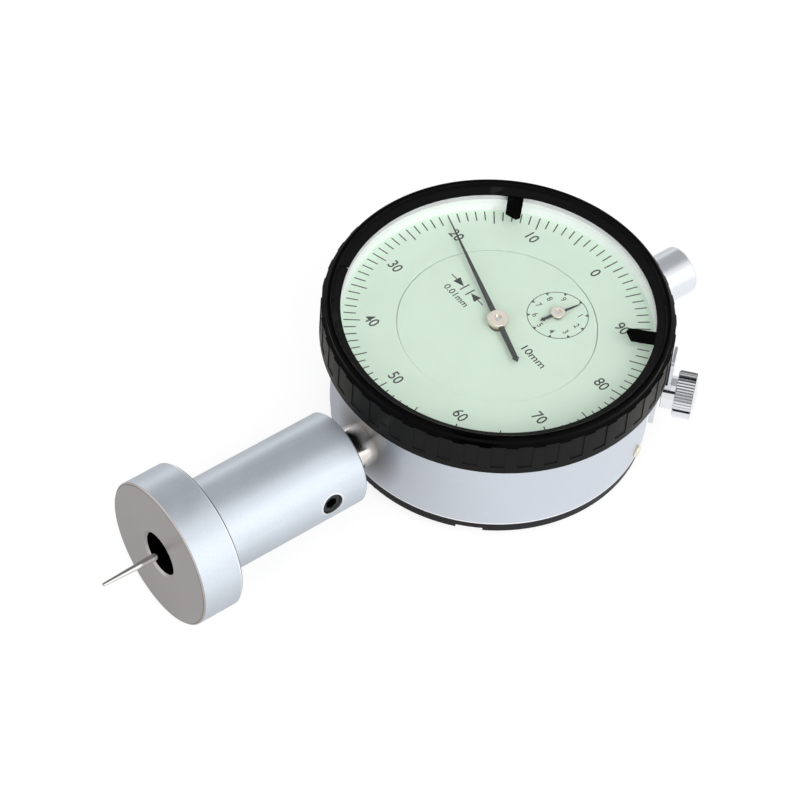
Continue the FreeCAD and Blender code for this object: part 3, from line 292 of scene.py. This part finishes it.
def makeLatheGroup():
    number, vector = "NodeSocketFloat", "NodeSocketVector"
    group, given, result = newGroup(
        "latheMarks",
        [("Centre", vector, (0, 0, 0)), ("Axis", vector, (0, 1, 0)),
         ("Lines", number, 9.0), ("Wander", number, 0.3)],
        ["Radius", "Along", "Height", "Flat"])
    place = put(group, "ShaderNodeTexCoord")
    offset = put(group, "ShaderNodeVectorMath", operation="SUBTRACT")
    join(group, place.outputs["Object"], offset.inputs[0])
    join(group, given.outputs["Centre"], offset.inputs[1])
    along = put(group, "ShaderNodeVectorMath", operation="DOT_PRODUCT")
    join(group, offset.outputs[0], along.inputs[0])
    join(group, given.outputs["Axis"], along.inputs[1])
    back = put(group, "ShaderNodeVectorMath", operation="SCALE")
    join(group, given.outputs["Axis"], back.inputs[0])
    join(group, along.outputs["Value"], back.inputs["Scale"])
    across = put(group, "ShaderNodeVectorMath", operation="SUBTRACT")
    join(group, offset.outputs[0], across.inputs[0])
    join(group, back.outputs[0], across.inputs[1])
    length = put(group, "ShaderNodeVectorMath", operation="LENGTH")
    join(group, across.outputs[0], length.inputs[0])
    radius = math(group, "MULTIPLY", length.outputs["Value"], 1000.0)
    depth = math(group, "MULTIPLY", along.outputs["Value"], 1000.0)
    facingEnd = put(group, "ShaderNodeVectorMath", operation="DOT_PRODUCT")
    join(group, put(group, "ShaderNodeNewGeometry").outputs["Normal"], facingEnd.inputs[0])
    join(group, given.outputs["Axis"], facingEnd.inputs[1])
    flat = math(group, "GREATER_THAN", math(group, "ABSOLUTE", facingEnd.outputs["Value"], 0), 0.7)
    pick = put(group, "ShaderNodeMix", data_type="FLOAT")
    join(group, flat, pick.inputs[0])
    join(group, depth, pick.inputs[2])
    join(group, radius, pick.inputs[3])
    waver = put(group, "ShaderNodeTexNoise", {"Scale": 90.0, "Detail": 1.0})
    join(group, place.outputs["Object"], waver.inputs["Vector"])
    shift = math(group, "MULTIPLY", waver.outputs["Fac"], given.outputs["Wander"])
    line = math(group, "MULTIPLY", math(group, "ADD", pick.outputs[0], shift), given.outputs["Lines"])
    marks = put(group, "ShaderNodeTexNoise", {"Scale": 1.0, "Detail": 3.0, "Roughness": 0.6},
                noise_dimensions="1D")
    join(group, line, marks.inputs["W"])
    found = {"Radius": radius, "Along": depth, "Height": marks.outputs["Fac"], "Flat": flat}
    for label, value in found.items():
        join(group, value, result.inputs[label])
    return group


def makeGrainGroup():
    number = "NodeSocketFloat"
    group, given, result = newGroup("blastGrain", [("Size", number, 0.12), ("Patch", number, 9.0)],
                                    ["Height", "Speck", "Patches"])
    place = put(group, "ShaderNodeTexCoord")
    scale = math(group, "DIVIDE", 1000.0, given.outputs["Size"])  # grain size in mm
    grain = put(group, "ShaderNodeTexNoise", {"Detail": 2.0, "Roughness": 0.6})
    join(group, place.outputs["Object"], grain.inputs["Vector"])
    join(group, scale, grain.inputs["Scale"])
    large = put(group, "ShaderNodeTexNoise", {"Detail": 3.0, "Roughness": 0.5, "Distortion": 0.6})
    join(group, place.outputs["Object"], large.inputs["Vector"])
    join(group, math(group, "DIVIDE", 1000.0, given.outputs["Patch"]), large.inputs["Scale"])
    join(group, grain.outputs["Fac"], result.inputs["Height"])
    join(group, spread(group, grain.outputs["Fac"], 0.38, 0.62, 0.0, 1.0), result.inputs["Speck"])
    join(group, spread(group, large.outputs["Fac"], 0.35, 0.65, 0.0, 1.0), result.inputs["Patches"])
    return group


def makeScratchGroup():
    number, vector = "NodeSocketFloat", "NodeSocketVector"
    group, given, result = newGroup(
        "hairScratches", [("Stretch", vector, (1, 1, 1)), ("Amount", number, 0.5)], ["Mask"])
    place = put(group, "ShaderNodeTexCoord")
    pulled = put(group, "ShaderNodeVectorMath", operation="MULTIPLY")
    join(group, place.outputs["Object"], pulled.inputs[0])
    join(group, given.outputs["Stretch"], pulled.inputs[1])
    lines = put(group, "ShaderNodeTexNoise", {"Scale": 1000.0, "Detail": 1.0, "Distortion": 0.3})
    join(group, pulled.outputs[0], lines.inputs["Vector"])
    thin = spread(group, lines.outputs["Fac"], 0.66, 0.72, 0.0, 1.0)
    patch = put(group, "ShaderNodeTexNoise", {"Scale": 160.0, "Detail": 2.0})
    join(group, place.outputs["Object"], patch.inputs["Vector"])
    some = spread(group, patch.outputs["Fac"], 0.45, 0.6, 0.0, 1.0)
    join(group, math(group, "MULTIPLY", math(group, "MULTIPLY", thin, some), given.outputs["Amount"]),
         result.inputs["Mask"])
    return group


latheMarks = makeLatheGroup()
blastGrain = makeGrainGroup()
hairScratches = makeScratchGroup()
print("shared effects built")


# Finishes

def principled(name, constants):
    made, tree = emptyMaterial(name)
    shader = put(tree, "ShaderNodeBsdfPrincipled", constants)
    join(tree, shader.outputs[0], put(tree, "ShaderNodeOutputMaterial").inputs["Surface"])
    return made, tree, shader


def effect(tree, group, **values):
    node = put(tree, "ShaderNodeGroup", node_tree=group)
    for name, value in values.items():
        node.inputs[name].default_value = value
    return node.outputs


def bump(tree, shader, heights, depth):
    chained = None
    for height, share in heights:
        node = put(tree, "ShaderNodeBump", {"Strength": share, "Distance": depth})
        join(tree, height, node.inputs["Height"])
        if chained is not None:
            join(tree, chained, node.inputs["Normal"])
        chained = node.outputs["Normal"]
    join(tree, chained, shader.inputs["Normal"])


def shaded(colour, share):
    return tuple(min(1.0, c * share) for c in colour)


metalValues = {"patches": 0.4, "specks": 0.6, "scratchShine": 1.12, "faceUneven": 0.06, "grooveReach": 0.25}


def uneven(look):
    return shaded(look["colour"], 1 - look["uneven"]), shaded(look["colour"], 1 + look["uneven"])


def roughLimits(look):
    return look["rough"] - look["roughSpread"], look["rough"] + look["roughSpread"]


def between(tree, value, low, high):
    above = math(tree, "GREATER_THAN", value, low)
    return math(tree, "MULTIPLY", above, math(tree, "LESS_THAN", value, high))


def endFace(tree, colour, marks, look):  # the flat face at the start has its own finish
    face = math(tree, "MULTIPLY", marks["Flat"], math(tree, "LESS_THAN", marks["Along"], look["faceEnd"]))
    worn = blendColour(tree, marks["Height"], shaded(look["faceColour"], 1 - metalValues["faceUneven"]),
                       shaded(look["faceColour"], 1 + metalValues["faceUneven"]))
    return blendColour(tree, face, colour, worn)


# painted shade: the inside of the bore is coloured near black
def darkBore(tree, colour, marks, look):
    inside = math(tree, "MULTIPLY", math(tree, "LESS_THAN", marks["Radius"], look["boreRadius"]),
                  math(tree, "GREATER_THAN", marks["Along"], look["boreFrom"]))
    return blendColour(tree, inside, colour, look["boreShadeColour"])


def edgeBands(tree, colour, marks, look):  # mm along the axis: painted highlights and painted dark lines on edges that catch or lose the light
    for low, high, paintedBandColour in look["paintedBands"]:
        outside = math(tree, "GREATER_THAN", marks["Radius"], look["bandFrom"])
        band = math(tree, "MULTIPLY", between(tree, marks["Along"], low, high), outside)
        colour = blendColour(tree, band, colour, paintedBandColour)
    return colour


# painted shade: the hole in the middle is coloured dark
def darkCore(tree, colour, marks, look):
    core = math(tree, "LESS_THAN", marks["Radius"], look["coreRadius"])
    return blendColour(tree, core, colour, look["coreShadeColour"])


def darkGrooves(tree, colour, marks, look):  # painted shade between the knurl's ridges
    low, high = look["grooves"]
    deep = spread(tree, marks["Radius"], low, high, 1.0, 0.0)
    outside = math(tree, "GREATER_THAN", marks["Radius"], low - metalValues["grooveReach"])
    side = math(tree, "SUBTRACT", 1.0, marks["Flat"])
    deep = math(tree, "MULTIPLY", math(tree, "MULTIPLY", deep, outside), side)
    return blendColour(tree, deep, colour, look["grooveShadeColour"])


def axisSpot(tree, colour, marks, look):  # a painted highlight ring, painted shade or a painted dark reflection around another piece's axis
    spot = effect(tree, latheMarks, Centre=look["spotCentre"], Axis=look["spotAxis"])
    low, high, strength = look["spot"]
    near = spread(tree, spot["Radius"], low, high, strength, 0.0)
    near = math(tree, "MULTIPLY", near, between(tree, spot["Along"], look["spotFrom"], look["spotTo"]))
    return blendColour(tree, near, colour, look["paintedSpotColour"])


metalDetails = {
    "faceColour": endFace, "boreShadeColour": darkBore, "paintedBands": edgeBands, "coreShadeColour": darkCore,
    "grooveShadeColour": darkGrooves, "paintedSpotColour": axisSpot,
}


def turnedMetal(name, look):
    made, tree, shader = principled(name, {"Metallic": 1.0})
    marks = effect(tree, latheMarks, Centre=look["centre"], Axis=look["axis"], Lines=look["lines"])
    grain = effect(tree, blastGrain, Size=look["grain"], Patch=look["patch"])
    scratches = effect(tree, hairScratches, Stretch=look["stretch"], Amount=look["scratches"])
    tone = math(tree, "ADD", math(tree, "MULTIPLY", grain["Patches"], metalValues["patches"]),
                math(tree, "MULTIPLY", grain["Speck"], metalValues["specks"]))
    colour = blendColour(tree, tone, *uneven(look))
    colour = blendColour(tree, scratches["Mask"], colour, shaded(look["colour"], metalValues["scratchShine"]))
    for key, detail in metalDetails.items():
        if key in look:
            colour = detail(tree, colour, marks, look)
    join(tree, colour, shader.inputs["Base Color"])
    rough = spread(tree, math(tree, "ADD", grain["Speck"], grain["Patches"]), 0, 2, *roughLimits(look))
    join(tree, rough, shader.inputs["Roughness"])
    heights = [(marks["Height"], look["marks"]), (grain["Height"], look["bite"])]
    bump(tree, shader, heights, look["depth"] * mm)
    return made


turnedBase = {
    "centre": (0, 0, 0), "axis": spindleAxis, "lines": 9.0, "grain": 0.14, "patch": 9.0,
    "stretch": (0.6, 0.05, 0.6), "scratches": 0.35, "colour": (0.70, 0.76, 0.83), "uneven": 0.03,
    "rough": 0.36, "roughSpread": 0.05, "marks": 0.12, "bite": 0.35, "depth": 0.02,
    "paintedBands": (), "bandFrom": 0.0,
}
# painted shade for the inside of the bore
boreShadeBlack = (0.012, 0.010, 0.009)
screwCentre = nodeMiddle("base_set_screw")
screwAxis = tuple(Vector((screwCentre[0], 0, screwCentre[2])).normalized())
turnedFinishes = {
    "measuring_base": {"faceColour": (0.548, 0.525, 0.522), "faceEnd": 0.6, "boreShadeColour": boreShadeBlack,
                       "boreRadius": 4.15, "boreFrom": 0.42, "grain": 0.22, "uneven": 0.06, "bite": 0.6,
                       "bandFrom": 13.0,
                       # painted highlight and painted dark line on the flange's rear chamfer, painted brown
                       # line at the face's rim
                       "paintedBands": ((7.54, 7.70, (0.95, 0.97, 1.0)), (7.70, 8.02, (0.26, 0.27, 0.29)),
                                 (-0.1, 0.06, (0.30, 0.26, 0.22))),
                       # painted highlight: a pale ring on the countersink around the set screw
                       "spotCentre": (0.0, screwCentre[1], 0.0), "spotAxis": screwAxis,
                       "spot": (2.15, 2.45, 0.8), "spotFrom": 4.0, "spotTo": 12.0,
                       "paintedSpotColour": (0.97, 0.98, 1.0)},
    "case_body": {"centre": tuple(dialCentre), "axis": dialAxis, "colour": (0.65, 0.69, 0.755), "rough": 0.42,
                  "marks": 0.05, "scratches": 0.2, "grain": 0.2, "patch": 4.0, "uneven": 0.035,
                  "bandFrom": 27.0,
                  # painted highlight along the case's bottom edge, above the back cover
                  "paintedBands": ((-8.0 - dialCentre.z / mm, -6.98 - dialCentre.z / mm, (0.95, 0.96, 1.0)),),
                  # painted shade: a warm dark patch on the case wall around the stem's end
                  "spotCentre": (0.0, 0.0, 0.0), "spotAxis": spindleAxis, "spot": (4.2, 9.5, 0.75),
                  "spotFrom": 40.0, "spotTo": 50.0, "paintedSpotColour": (0.20, 0.175, 0.15)},
    "dust_cap": {"colour": (0.78, 0.81, 0.85), "rough": 0.27, "marks": 0.2},
    "stem": {"colour": (0.74, 0.70, 0.66), "rough": 0.12, "roughSpread": 0.03, "marks": 0.05, "bite": 0.04},
    "needle_holder": {"colour": (0.50, 0.49, 0.48), "rough": 0.2, "bite": 0.1},
    "needle_point": {"colour": (0.78, 0.77, 0.76), "rough": 0.07, "bite": 0.01, "marks": 0.02, "grain": 0.08,
                     # painted reflection: one half of the needle point is coloured darker
                     "spotCentre": (0.0, 0.0, 0.0), "spotAxis": (-0.846, 0.0, 0.533),
                     "spot": (60.0, 70.0, 1.0), "spotFrom": 0.02, "spotTo": 2.0,
                     "paintedSpotColour": (0.32, 0.305, 0.29)},
    "spindle_rack": {"colour": (0.60, 0.59, 0.58), "rough": 0.2, "bite": 0.1},
    "clamp_screw": {"axis": clampAxis, "centre": nodeMiddle("clamp_screw"), "colour": (0.76, 0.77, 0.79),
                    # painted shade in the knurl's grooves
                    "rough": 0.1, "roughSpread": 0.03, "bite": 0.04, "marks": 0.04, "grooves": (3.89, 4.1),
                    "grooveShadeColour": (0.10, 0.10, 0.105)},
    "clamp_strip": {"axis": clampAxis, "centre": nodeMiddle("clamp_screw"), "colour": (0.62, 0.65, 0.69),
                    "rough": 0.2, "roughSpread": 0.04, "bite": 0.08, "marks": 0.04},
    "case_plug_screw": {"axis": dialAxis, "colour": (0.84, 0.78, 0.64), "rough": 0.3},
}
cutSteel = {"colour": (0.58, 0.57, 0.56), "rough": 0.24, "bite": 0.12, "axis": dialAxis}
sheetBrass = {"colour": (0.72, 0.55, 0.26), "rough": 0.3, "bite": 0.12, "axis": dialAxis}
nickelPlate = {"colour": (0.74, 0.68, 0.60), "rough": 0.2, "bite": 0.06, "axis": dialAxis, "lines": 14.0}
springSteel = {"colour": (0.40, 0.41, 0.44), "rough": 0.3, "bite": 0.1, "axis": dialAxis}
sharedFinishes = (
    (cutSteel, ["guide_pin", "guide_plate", "guide_plate_screws", "spring_post", "plate_pillars",
                "bezel_wire_ring", "lower_plate_screws", "upper_plate_screws", "pinion_bridge_screw",
                "back_cover_screws", "rack_pinion_arbor", "centre_pinion_arbor", "take_up_arbor"]),
    (sheetBrass, ["main_hand_bush", "revolution_hand_bush", "hairspring_collet", "hairspring_stud",
                  "lower_movement_plate", "upper_movement_plate", "pinion_bridge", "rack_wheel",
                  "take_up_wheel", "stem_bushes", "top_bush"]),
    # hubs with painted shade in their middle hole
    (dict(nickelPlate, coreRadius=0.36, coreShadeColour=(0.05, 0.042, 0.035)),
     ["main_hand_hub", "revolution_hand_hub"]),
    (springSteel, ["return_spring", "hairspring"]),
)


def coatedFinish(name, look):
    made, tree, shader = principled(name, {"Metallic": 0.0, "Specular IOR Level": look["shine"], "IOR": 1.5})
    grain = effect(tree, blastGrain, Size=look["grain"], Patch=look["patch"])
    scratches = effect(tree, hairScratches, Stretch=(0.3, 0.06, 0.3), Amount=look["scratches"])
    colour = blendColour(tree, grain["Patches"], *uneven(look))
    colour = blendColour(tree, scratches["Mask"], colour, look["scratchColour"])
    join(tree, colour, shader.inputs["Base Color"])
    join(tree, spread(tree, grain["Patches"], 0, 1, *roughLimits(look)), shader.inputs["Roughness"])
    bump(tree, shader, [(grain["Height"], look["bite"])], look["depth"] * mm)
    return made, tree, shader


coatedBase = {
    "shine": 0.4, "grain": 0.12, "patch": 7.0, "scratches": 0.1, "colour": (0.03, 0.03, 0.03),
    "scratchColour": (0.12, 0.12, 0.12), "uneven": 0.1, "rough": 0.4, "roughSpread": 0.06, "bite": 0.2,
    "depth": 0.02,
}
dialPaint = {"colour": (0.71, 0.87, 0.73), "rough": 0.5, "uneven": 0.012, "scratches": 0.0, "grain": 0.2,
             "bite": 0.08, "shine": 0.3}
coatedFinishes = {
    "base_set_screw": {"colour": (0.002, 0.002, 0.002), "rough": 0.1, "shine": 0.35},
    "back_cover": {"colour": (0.009, 0.009, 0.01), "rough": 0.45, "bite": 0.5, "grain": 0.3, "shine": 0.2},
    "back_cover_seal": {"colour": (0.02, 0.02, 0.02), "rough": 0.7},
    "crystal_split_ring": {"colour": (0.004, 0.004, 0.004), "rough": 0.5, "shine": 0.08},
    "limit_hand_left": {"colour": (0.002, 0.002, 0.002), "rough": 0.6, "shine": 0.02},
    "limit_hand_right": {"colour": (0.002, 0.002, 0.002), "rough": 0.6, "shine": 0.02},
    "dial_wall_ring": {"colour": (0.93, 0.95, 0.95), "rough": 0.45, "uneven": 0.01, "scratches": 0.0},
    "main_hand": {"colour": (0.010, 0.014, 0.015), "rough": 0.4, "uneven": 0.05, "shine": 0.2},
    "revolution_hand": {"colour": (0.010, 0.014, 0.015), "rough": 0.4, "uneven": 0.05, "shine": 0.2},
    "movement_jewels": {"colour": (0.45, 0.02, 0.07), "rough": 0.08, "shine": 0.6, "bite": 0.02},
    "outer_dial": dialPaint,
    "inner_dial": dialPaint,
}
bezelFinish = {
    "sideColour": (0.0135, 0.014, 0.0135), "topColour": (0.0005, 0.0004, 0.0004),
    # painted sheen: the side's colour turns lighter brown-grey toward grazing angles
    "slopeColour": (0.0035, 0.0037, 0.0035), "paintedSheen": (0.16, 0.15, 0.14), "paintedSheenFrom": 0.55,
    "shoulder": (30.82, 16.36), "shoulderFall": 0.92,  # mm; the side is grey below this line
    "slopeFrom": 29.15,  # mm from the dial's axis; inside it the lip's slope is matt
    "topRough": (0.10, 0.19), "shine": 0.05,
}


def bezelMaterial():
    look = dict(coatedBase, colour=bezelFinish["sideColour"], shine=bezelFinish["shine"], bite=0.35,
                grain=0.16)
    made, tree, shader = coatedFinish("bezelFinish", look)
    marks = effect(tree, latheMarks, Centre=tuple(dialCentre), Axis=dialAxis, Lines=5.0)
    grain = effect(tree, blastGrain, Size=0.3, Patch=5.0)
    height = math(tree, "ADD", marks["Along"], dialCentre.z * 1000)
    edge, edgeHeight = bezelFinish["shoulder"]
    fall = math(tree, "MULTIPLY", math(tree, "SUBTRACT", edge, marks["Radius"]), bezelFinish["shoulderFall"])
    top = math(tree, "GREATER_THAN", math(tree, "SUBTRACT", height, fall), edgeHeight)
    slope = math(tree, "LESS_THAN", marks["Radius"], bezelFinish["slopeFrom"])
    colour = shader.inputs["Base Color"].links[0].from_socket
    # painted sheen toward grazing angles
    grazing = put(tree, "ShaderNodeLayerWeight", {"Blend": 0.5}).outputs["Facing"]
    colour = blendColour(tree, spread(tree, grazing, bezelFinish["paintedSheenFrom"], 1.0, 0.0, 0.8), colour,
                         bezelFinish["paintedSheen"])
    colour = blendColour(tree, top, colour, bezelFinish["topColour"])
    join(tree, blendColour(tree, slope, colour, bezelFinish["slopeColour"]), shader.inputs["Base Color"])
    gloss = spread(tree, grain["Patches"], 0, 1, *bezelFinish["topRough"])
    pick = put(tree, "ShaderNodeMix", data_type="FLOAT")
    join(tree, math(tree, "SUBTRACT", top, slope), pick.inputs[0])
    join(tree, shader.inputs["Roughness"].links[0].from_socket, pick.inputs[2])
    join(tree, gloss, pick.inputs[3])
    join(tree, pick.outputs[0], shader.inputs["Roughness"])
    return made


def crystalMaterial():
    constants = {"Metallic": 0.0, "Transmission Weight": 1.0, "IOR": 1.49, "Specular IOR Level": 0.1}
    made, tree, shader = principled("crystalFinish", constants)
    grain = effect(tree, blastGrain, Size=0.5, Patch=14.0)
    scratches = effect(tree, hairScratches, Stretch=(0.5, 0.03, 0.5), Amount=0.06)
    tint = blendColour(tree, grain["Patches"], (0.985, 0.99, 0.99), (1.0, 1.0, 1.0))
    join(tree, tint, shader.inputs["Base Color"])
    join(tree, spread(tree, scratches["Mask"], 0, 1, 0.0, 0.25), shader.inputs["Roughness"])
    return made


def dress(name, material):
    piece = nodes[name]
    piece.data.materials.clear()
    piece.data.materials.append(material)


for name, look in turnedFinishes.items():
    dress(name, turnedMetal(name + "Finish", dict(turnedBase, **look)))
for look, names in sharedFinishes:
    for name in names:
        dress(name, turnedMetal(name + "Finish", dict(turnedBase, centre=nodeMiddle(name), **look)))
for name, look in coatedFinishes.items():
    dress(name, coatedFinish(name + "Finish", dict(coatedBase, **look))[0])
dress("bezel", bezelMaterial())
nodes["crystal_split_ring"].visible_shadow = False  # its thin wall is beside the clear crystal
print("finishes on %d nodes" % len([n for n in nodes.values() if n.data.materials]))


# Crystal, with an air gap under it, so that the white ring below stays white

crystalValues = {"gap": 0.02, "edge": 0.08, "sides": 160}  # mm


def makeCrystal():
    low, high = (Vector(corner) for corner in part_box("crystal"))
    bottom = low.z + crystalValues["gap"] * mm
    shape = bmesh.new()
    bmesh.ops.create_cone(shape, cap_ends=True, segments=crystalValues["sides"], radius1=(high.x - low.x) / 2,
                          radius2=(high.x - low.x) / 2, depth=high.z - bottom)
    rims = [edge for edge in shape.edges if abs(edge.verts[0].co.z - edge.verts[1].co.z) < 0.1 * mm]
    bmesh.ops.bevel(shape, geom=rims, offset=crystalValues["edge"] * mm, segments=2, profile=0.5,
                    affect="EDGES", material=-1)
    centre = ((low.x + high.x) / 2, (low.y + high.y) / 2, (bottom + high.z) / 2)
    shape.transform(Matrix.Translation(Vector(centre)))
    bmesh.ops.recalc_face_normals(shape, faces=shape.faces)
    made = meshObject("crystal_disc", shape)
    made.data.materials.append(crystalMaterial())
    made.visible_shadow = False  # the lamps shine through it
    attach(made, "bezel_group")
    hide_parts("crystal")


makeCrystal()
print("crystal made")


# Dial print

ink = {
    "thick": 0.02, "sink": 0.006,  # mm, above and below the dial's face
    "shade": (0.004, 0.006, 0.006), "faint": (0.04, 0.052, 0.052), "bold": 0.008,
}
outerPrint = {
    "turn": -0.76,  # degrees, the whole ring stands a little clockwise
    "ticks": 100,
    "longFrom": 23.82, "shortFrom": 24.6, "to": 26.74, "width": 0.22,  # mm from the dial's centre
    "figures": 10, "figureRadius": 21.8, "figureHeight": 2.1, "narrow": 0.86,
}
innerPrint = {
    "barPlaces": (-10.15, -8.65), "barWidth": 0.24, "barHeight": 2.1, "barMiddle": 0.7,
    "leftArrow": (-13.9, -12.4, -10.4), "rightArrow": (-5.0, -6.5, -8.35),
    "lineWidth": 0.18, "headHeight": 1.6,
    "resolution": {"words": "0.01mm", "at": (-9.45, -1.7), "height": 1.3, "wide": 5.9},
    "reach": {"words": "10mm", "at": (9.35, 0.7), "height": 1.5, "wide": 5.5},
}
smallPrint = {"ring": 5.36, "ringWidth": 0.13, "figureRadius": 3.95, "figureHeight": 1.15, "markWide": 0.72,
              "markDeep": 0.62, "narrow": 0.9}


def inkMaterial(name, colour):
    look = dict(coatedBase, colour=colour, rough=0.5, shine=0.3, uneven=0.15, scratches=0.0, bite=0.1,
                patch=1.2)
    return coatedFinish(name, look)[0]


def letters(words, bold):
    curve = bpy.data.curves.new("figures", "FONT")
    curve.body = words
    curve.size = 1.0
    curve.offset = bold
    curve.resolution_u = 6
    curve.extrude = 0.01
    holder = bpy.data.objects.new("figures", curve)
    scene.collection.objects.link(holder)
    bpy.context.view_layer.update()
    mesh = bpy.data.meshes.new_from_object(holder.evaluated_get(bpy.context.evaluated_depsgraph_get()))
    bpy.data.objects.remove(holder)
    bpy.data.curves.remove(curve)
    return mesh


def meshBox(mesh):
    corners = [v.co for v in mesh.vertices]
    low = Vector([min(c[i] for c in corners) for i in range(3)])
    high = Vector([max(c[i] for c in corners) for i in range(3)])
    return low, high


def addWords(shape, words, at, height, narrow=1.0, wide=None):
    mesh = letters(words, ink["bold"])
    low, high = meshBox(mesh)
    figure = letters("0", ink["bold"])
    figureLow, figureHigh = meshBox(figure)
    bpy.data.meshes.remove(figure)
    scale = height / (figureHigh.y - figureLow.y)
    across = wide / (high.x - low.x) if wide else scale * narrow
    middle = Vector(((low.x + high.x) / 2, (figureLow.y + figureHigh.y) / 2, low.z))
    size = Matrix.Diagonal((across, scale, ink["thick"] / (high.z - low.z), 1))
    place = Matrix.Translation(Vector((at[0], at[1], -ink["sink"])))
    mesh.transform(place @ size @ Matrix.Translation(-middle))
    shape.from_mesh(mesh)
    bpy.data.meshes.remove(mesh)


def addBar(shape, low, high, turn=0.0):
    size = Matrix.Diagonal((high[0] - low[0], high[1] - low[1], ink["thick"], 1))
    middle = Vector(((low[0] + high[0]) / 2, (low[1] + high[1]) / 2, ink["thick"] / 2 - ink["sink"]))
    place = Matrix.Rotation(radians(turn), 4, "Z") @ Matrix.Translation(middle) @ size
    bmesh.ops.create_cube(shape, size=1.0, matrix=place)


def addHead(shape, back, point, halfHeight, middle, turn=0.0, centre=(0, 0)):
    outline = [(back, middle - halfHeight), (point, middle), (back, middle + halfHeight)]
    if point < back:
        outline.reverse()
    face = shape.faces.new([shape.verts.new((x, y, -ink["sink"])) for x, y in outline])
    face.normal_update()
    if face.normal.z > 0:
        face.normal_flip()
    raised = bmesh.ops.extrude_face_region(shape, geom=[face], use_keep_orig=True)
    corners = [g for g in raised["geom"] if isinstance(g, bmesh.types.BMVert)]
    bmesh.ops.translate(shape, verts=corners, vec=(0, 0, ink["thick"]))
    moved = corners + list(face.verts)
    bmesh.ops.rotate(shape, verts=moved, cent=(0, 0, 0), matrix=Matrix.Rotation(radians(turn), 3, "Z"))
    bmesh.ops.translate(shape, verts=moved, vec=(centre[0], centre[1], 0))


def addRing(shape, radius, width, centre, steps=96):
    low, high = -ink["sink"], ink["thick"] - ink["sink"]
    corners = [(radius - width / 2, low), (radius + width / 2, low), (radius + width / 2, high),
               (radius - width / 2, high)]
    verts = [shape.verts.new((centre[0] + r, centre[1], z)) for r, z in corners]
    edges = [shape.edges.new((verts[i], verts[(i + 1) % 4])) for i in range(4)]
    bmesh.ops.spin(shape, geom=verts + edges, cent=(centre[0], centre[1], 0), axis=(0, 0, 1),
                   angle=radians(360), steps=steps, use_merge=True)


def printPiece(name, shape, centre, face, body, material):
    shape.transform(Matrix.Translation(Vector((centre.x, centre.y, face))) @ Matrix.Diagonal((mm, mm, mm, 1)))
    bmesh.ops.recalc_face_normals(shape, faces=shape.faces)
    made = meshObject(name, shape)
    made.data.materials.append(material)
    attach(made, body)
    return made


inkDark = inkMaterial("printInk", ink["shade"])
inkFaint = inkMaterial("faintInk", ink["faint"])

ticks = bmesh.new()
for i in range(outerPrint["ticks"]):
    start = outerPrint["longFrom"] if i % 5 == 0 else outerPrint["shortFrom"]
    half = outerPrint["width"] / 2
    turn = i * 360 / outerPrint["ticks"] + outerPrint["turn"]
    addBar(ticks, (-half, start), (half, outerPrint["to"]), turn)
printPiece("outer_graduation", ticks, dialCentre, dialFace, "bezel_group", inkDark)

figures = bmesh.new()
for i in range(outerPrint["figures"]):
    angle = radians(i * 360 / outerPrint["figures"] + outerPrint["turn"])
    at = (-outerPrint["figureRadius"] * sin(angle), outerPrint["figureRadius"] * cos(angle))
    addWords(figures, str(i * 10), at, outerPrint["figureHeight"], outerPrint["narrow"])
printPiece("outer_figures", figures, dialCentre, dialFace, "bezel_group", inkDark)

signs = bmesh.new()
signMiddle = innerPrint["barMiddle"]
for place in innerPrint["barPlaces"]:
    half = innerPrint["barWidth"] / 2
    tall = innerPrint["barHeight"] / 2
    addBar(signs, (place - half, signMiddle - tall), (place + half, signMiddle + tall))
for end, neck, point in (innerPrint["leftArrow"], innerPrint["rightArrow"]):
    half = innerPrint["lineWidth"] / 2
    addBar(signs, (min(end, neck), signMiddle - half), (max(end, neck), signMiddle + half))
    addHead(signs, neck, point, innerPrint["headHeight"] / 2, signMiddle)
for words in (innerPrint["resolution"], innerPrint["reach"]):
    addWords(signs, words["words"], words["at"], words["height"], wide=words["wide"])
printPiece("inner_signs", signs, dialCentre, innerFace, "root", inkDark)

smallDial = bmesh.new()
smallPlace = (smallCentre - dialCentre) / mm
addRing(smallDial, smallPrint["ring"], smallPrint["ringWidth"], (smallPlace.x, smallPlace.y))
for i in range(10):
    addHead(smallDial, -smallPrint["ring"], -smallPrint["ring"] + smallPrint["markDeep"],
            smallPrint["markWide"] / 2, 0.0, -90 - i * 36, (smallPlace.x, smallPlace.y))
    angle = radians(i * 36)
    if i > 0:  # the hand covers the place of 0
        at = (smallPlace.x + smallPrint["figureRadius"] * sin(angle),
              smallPlace.y + smallPrint["figureRadius"] * cos(angle))
        addWords(smallDial, str(i), at, smallPrint["figureHeight"], smallPrint["narrow"])
printPiece("small_dial_print", smallDial, dialCentre, innerFace, "root", inkFaint)
print("dial printed")


# View transform

scene.view_settings.view_transform = "Standard"
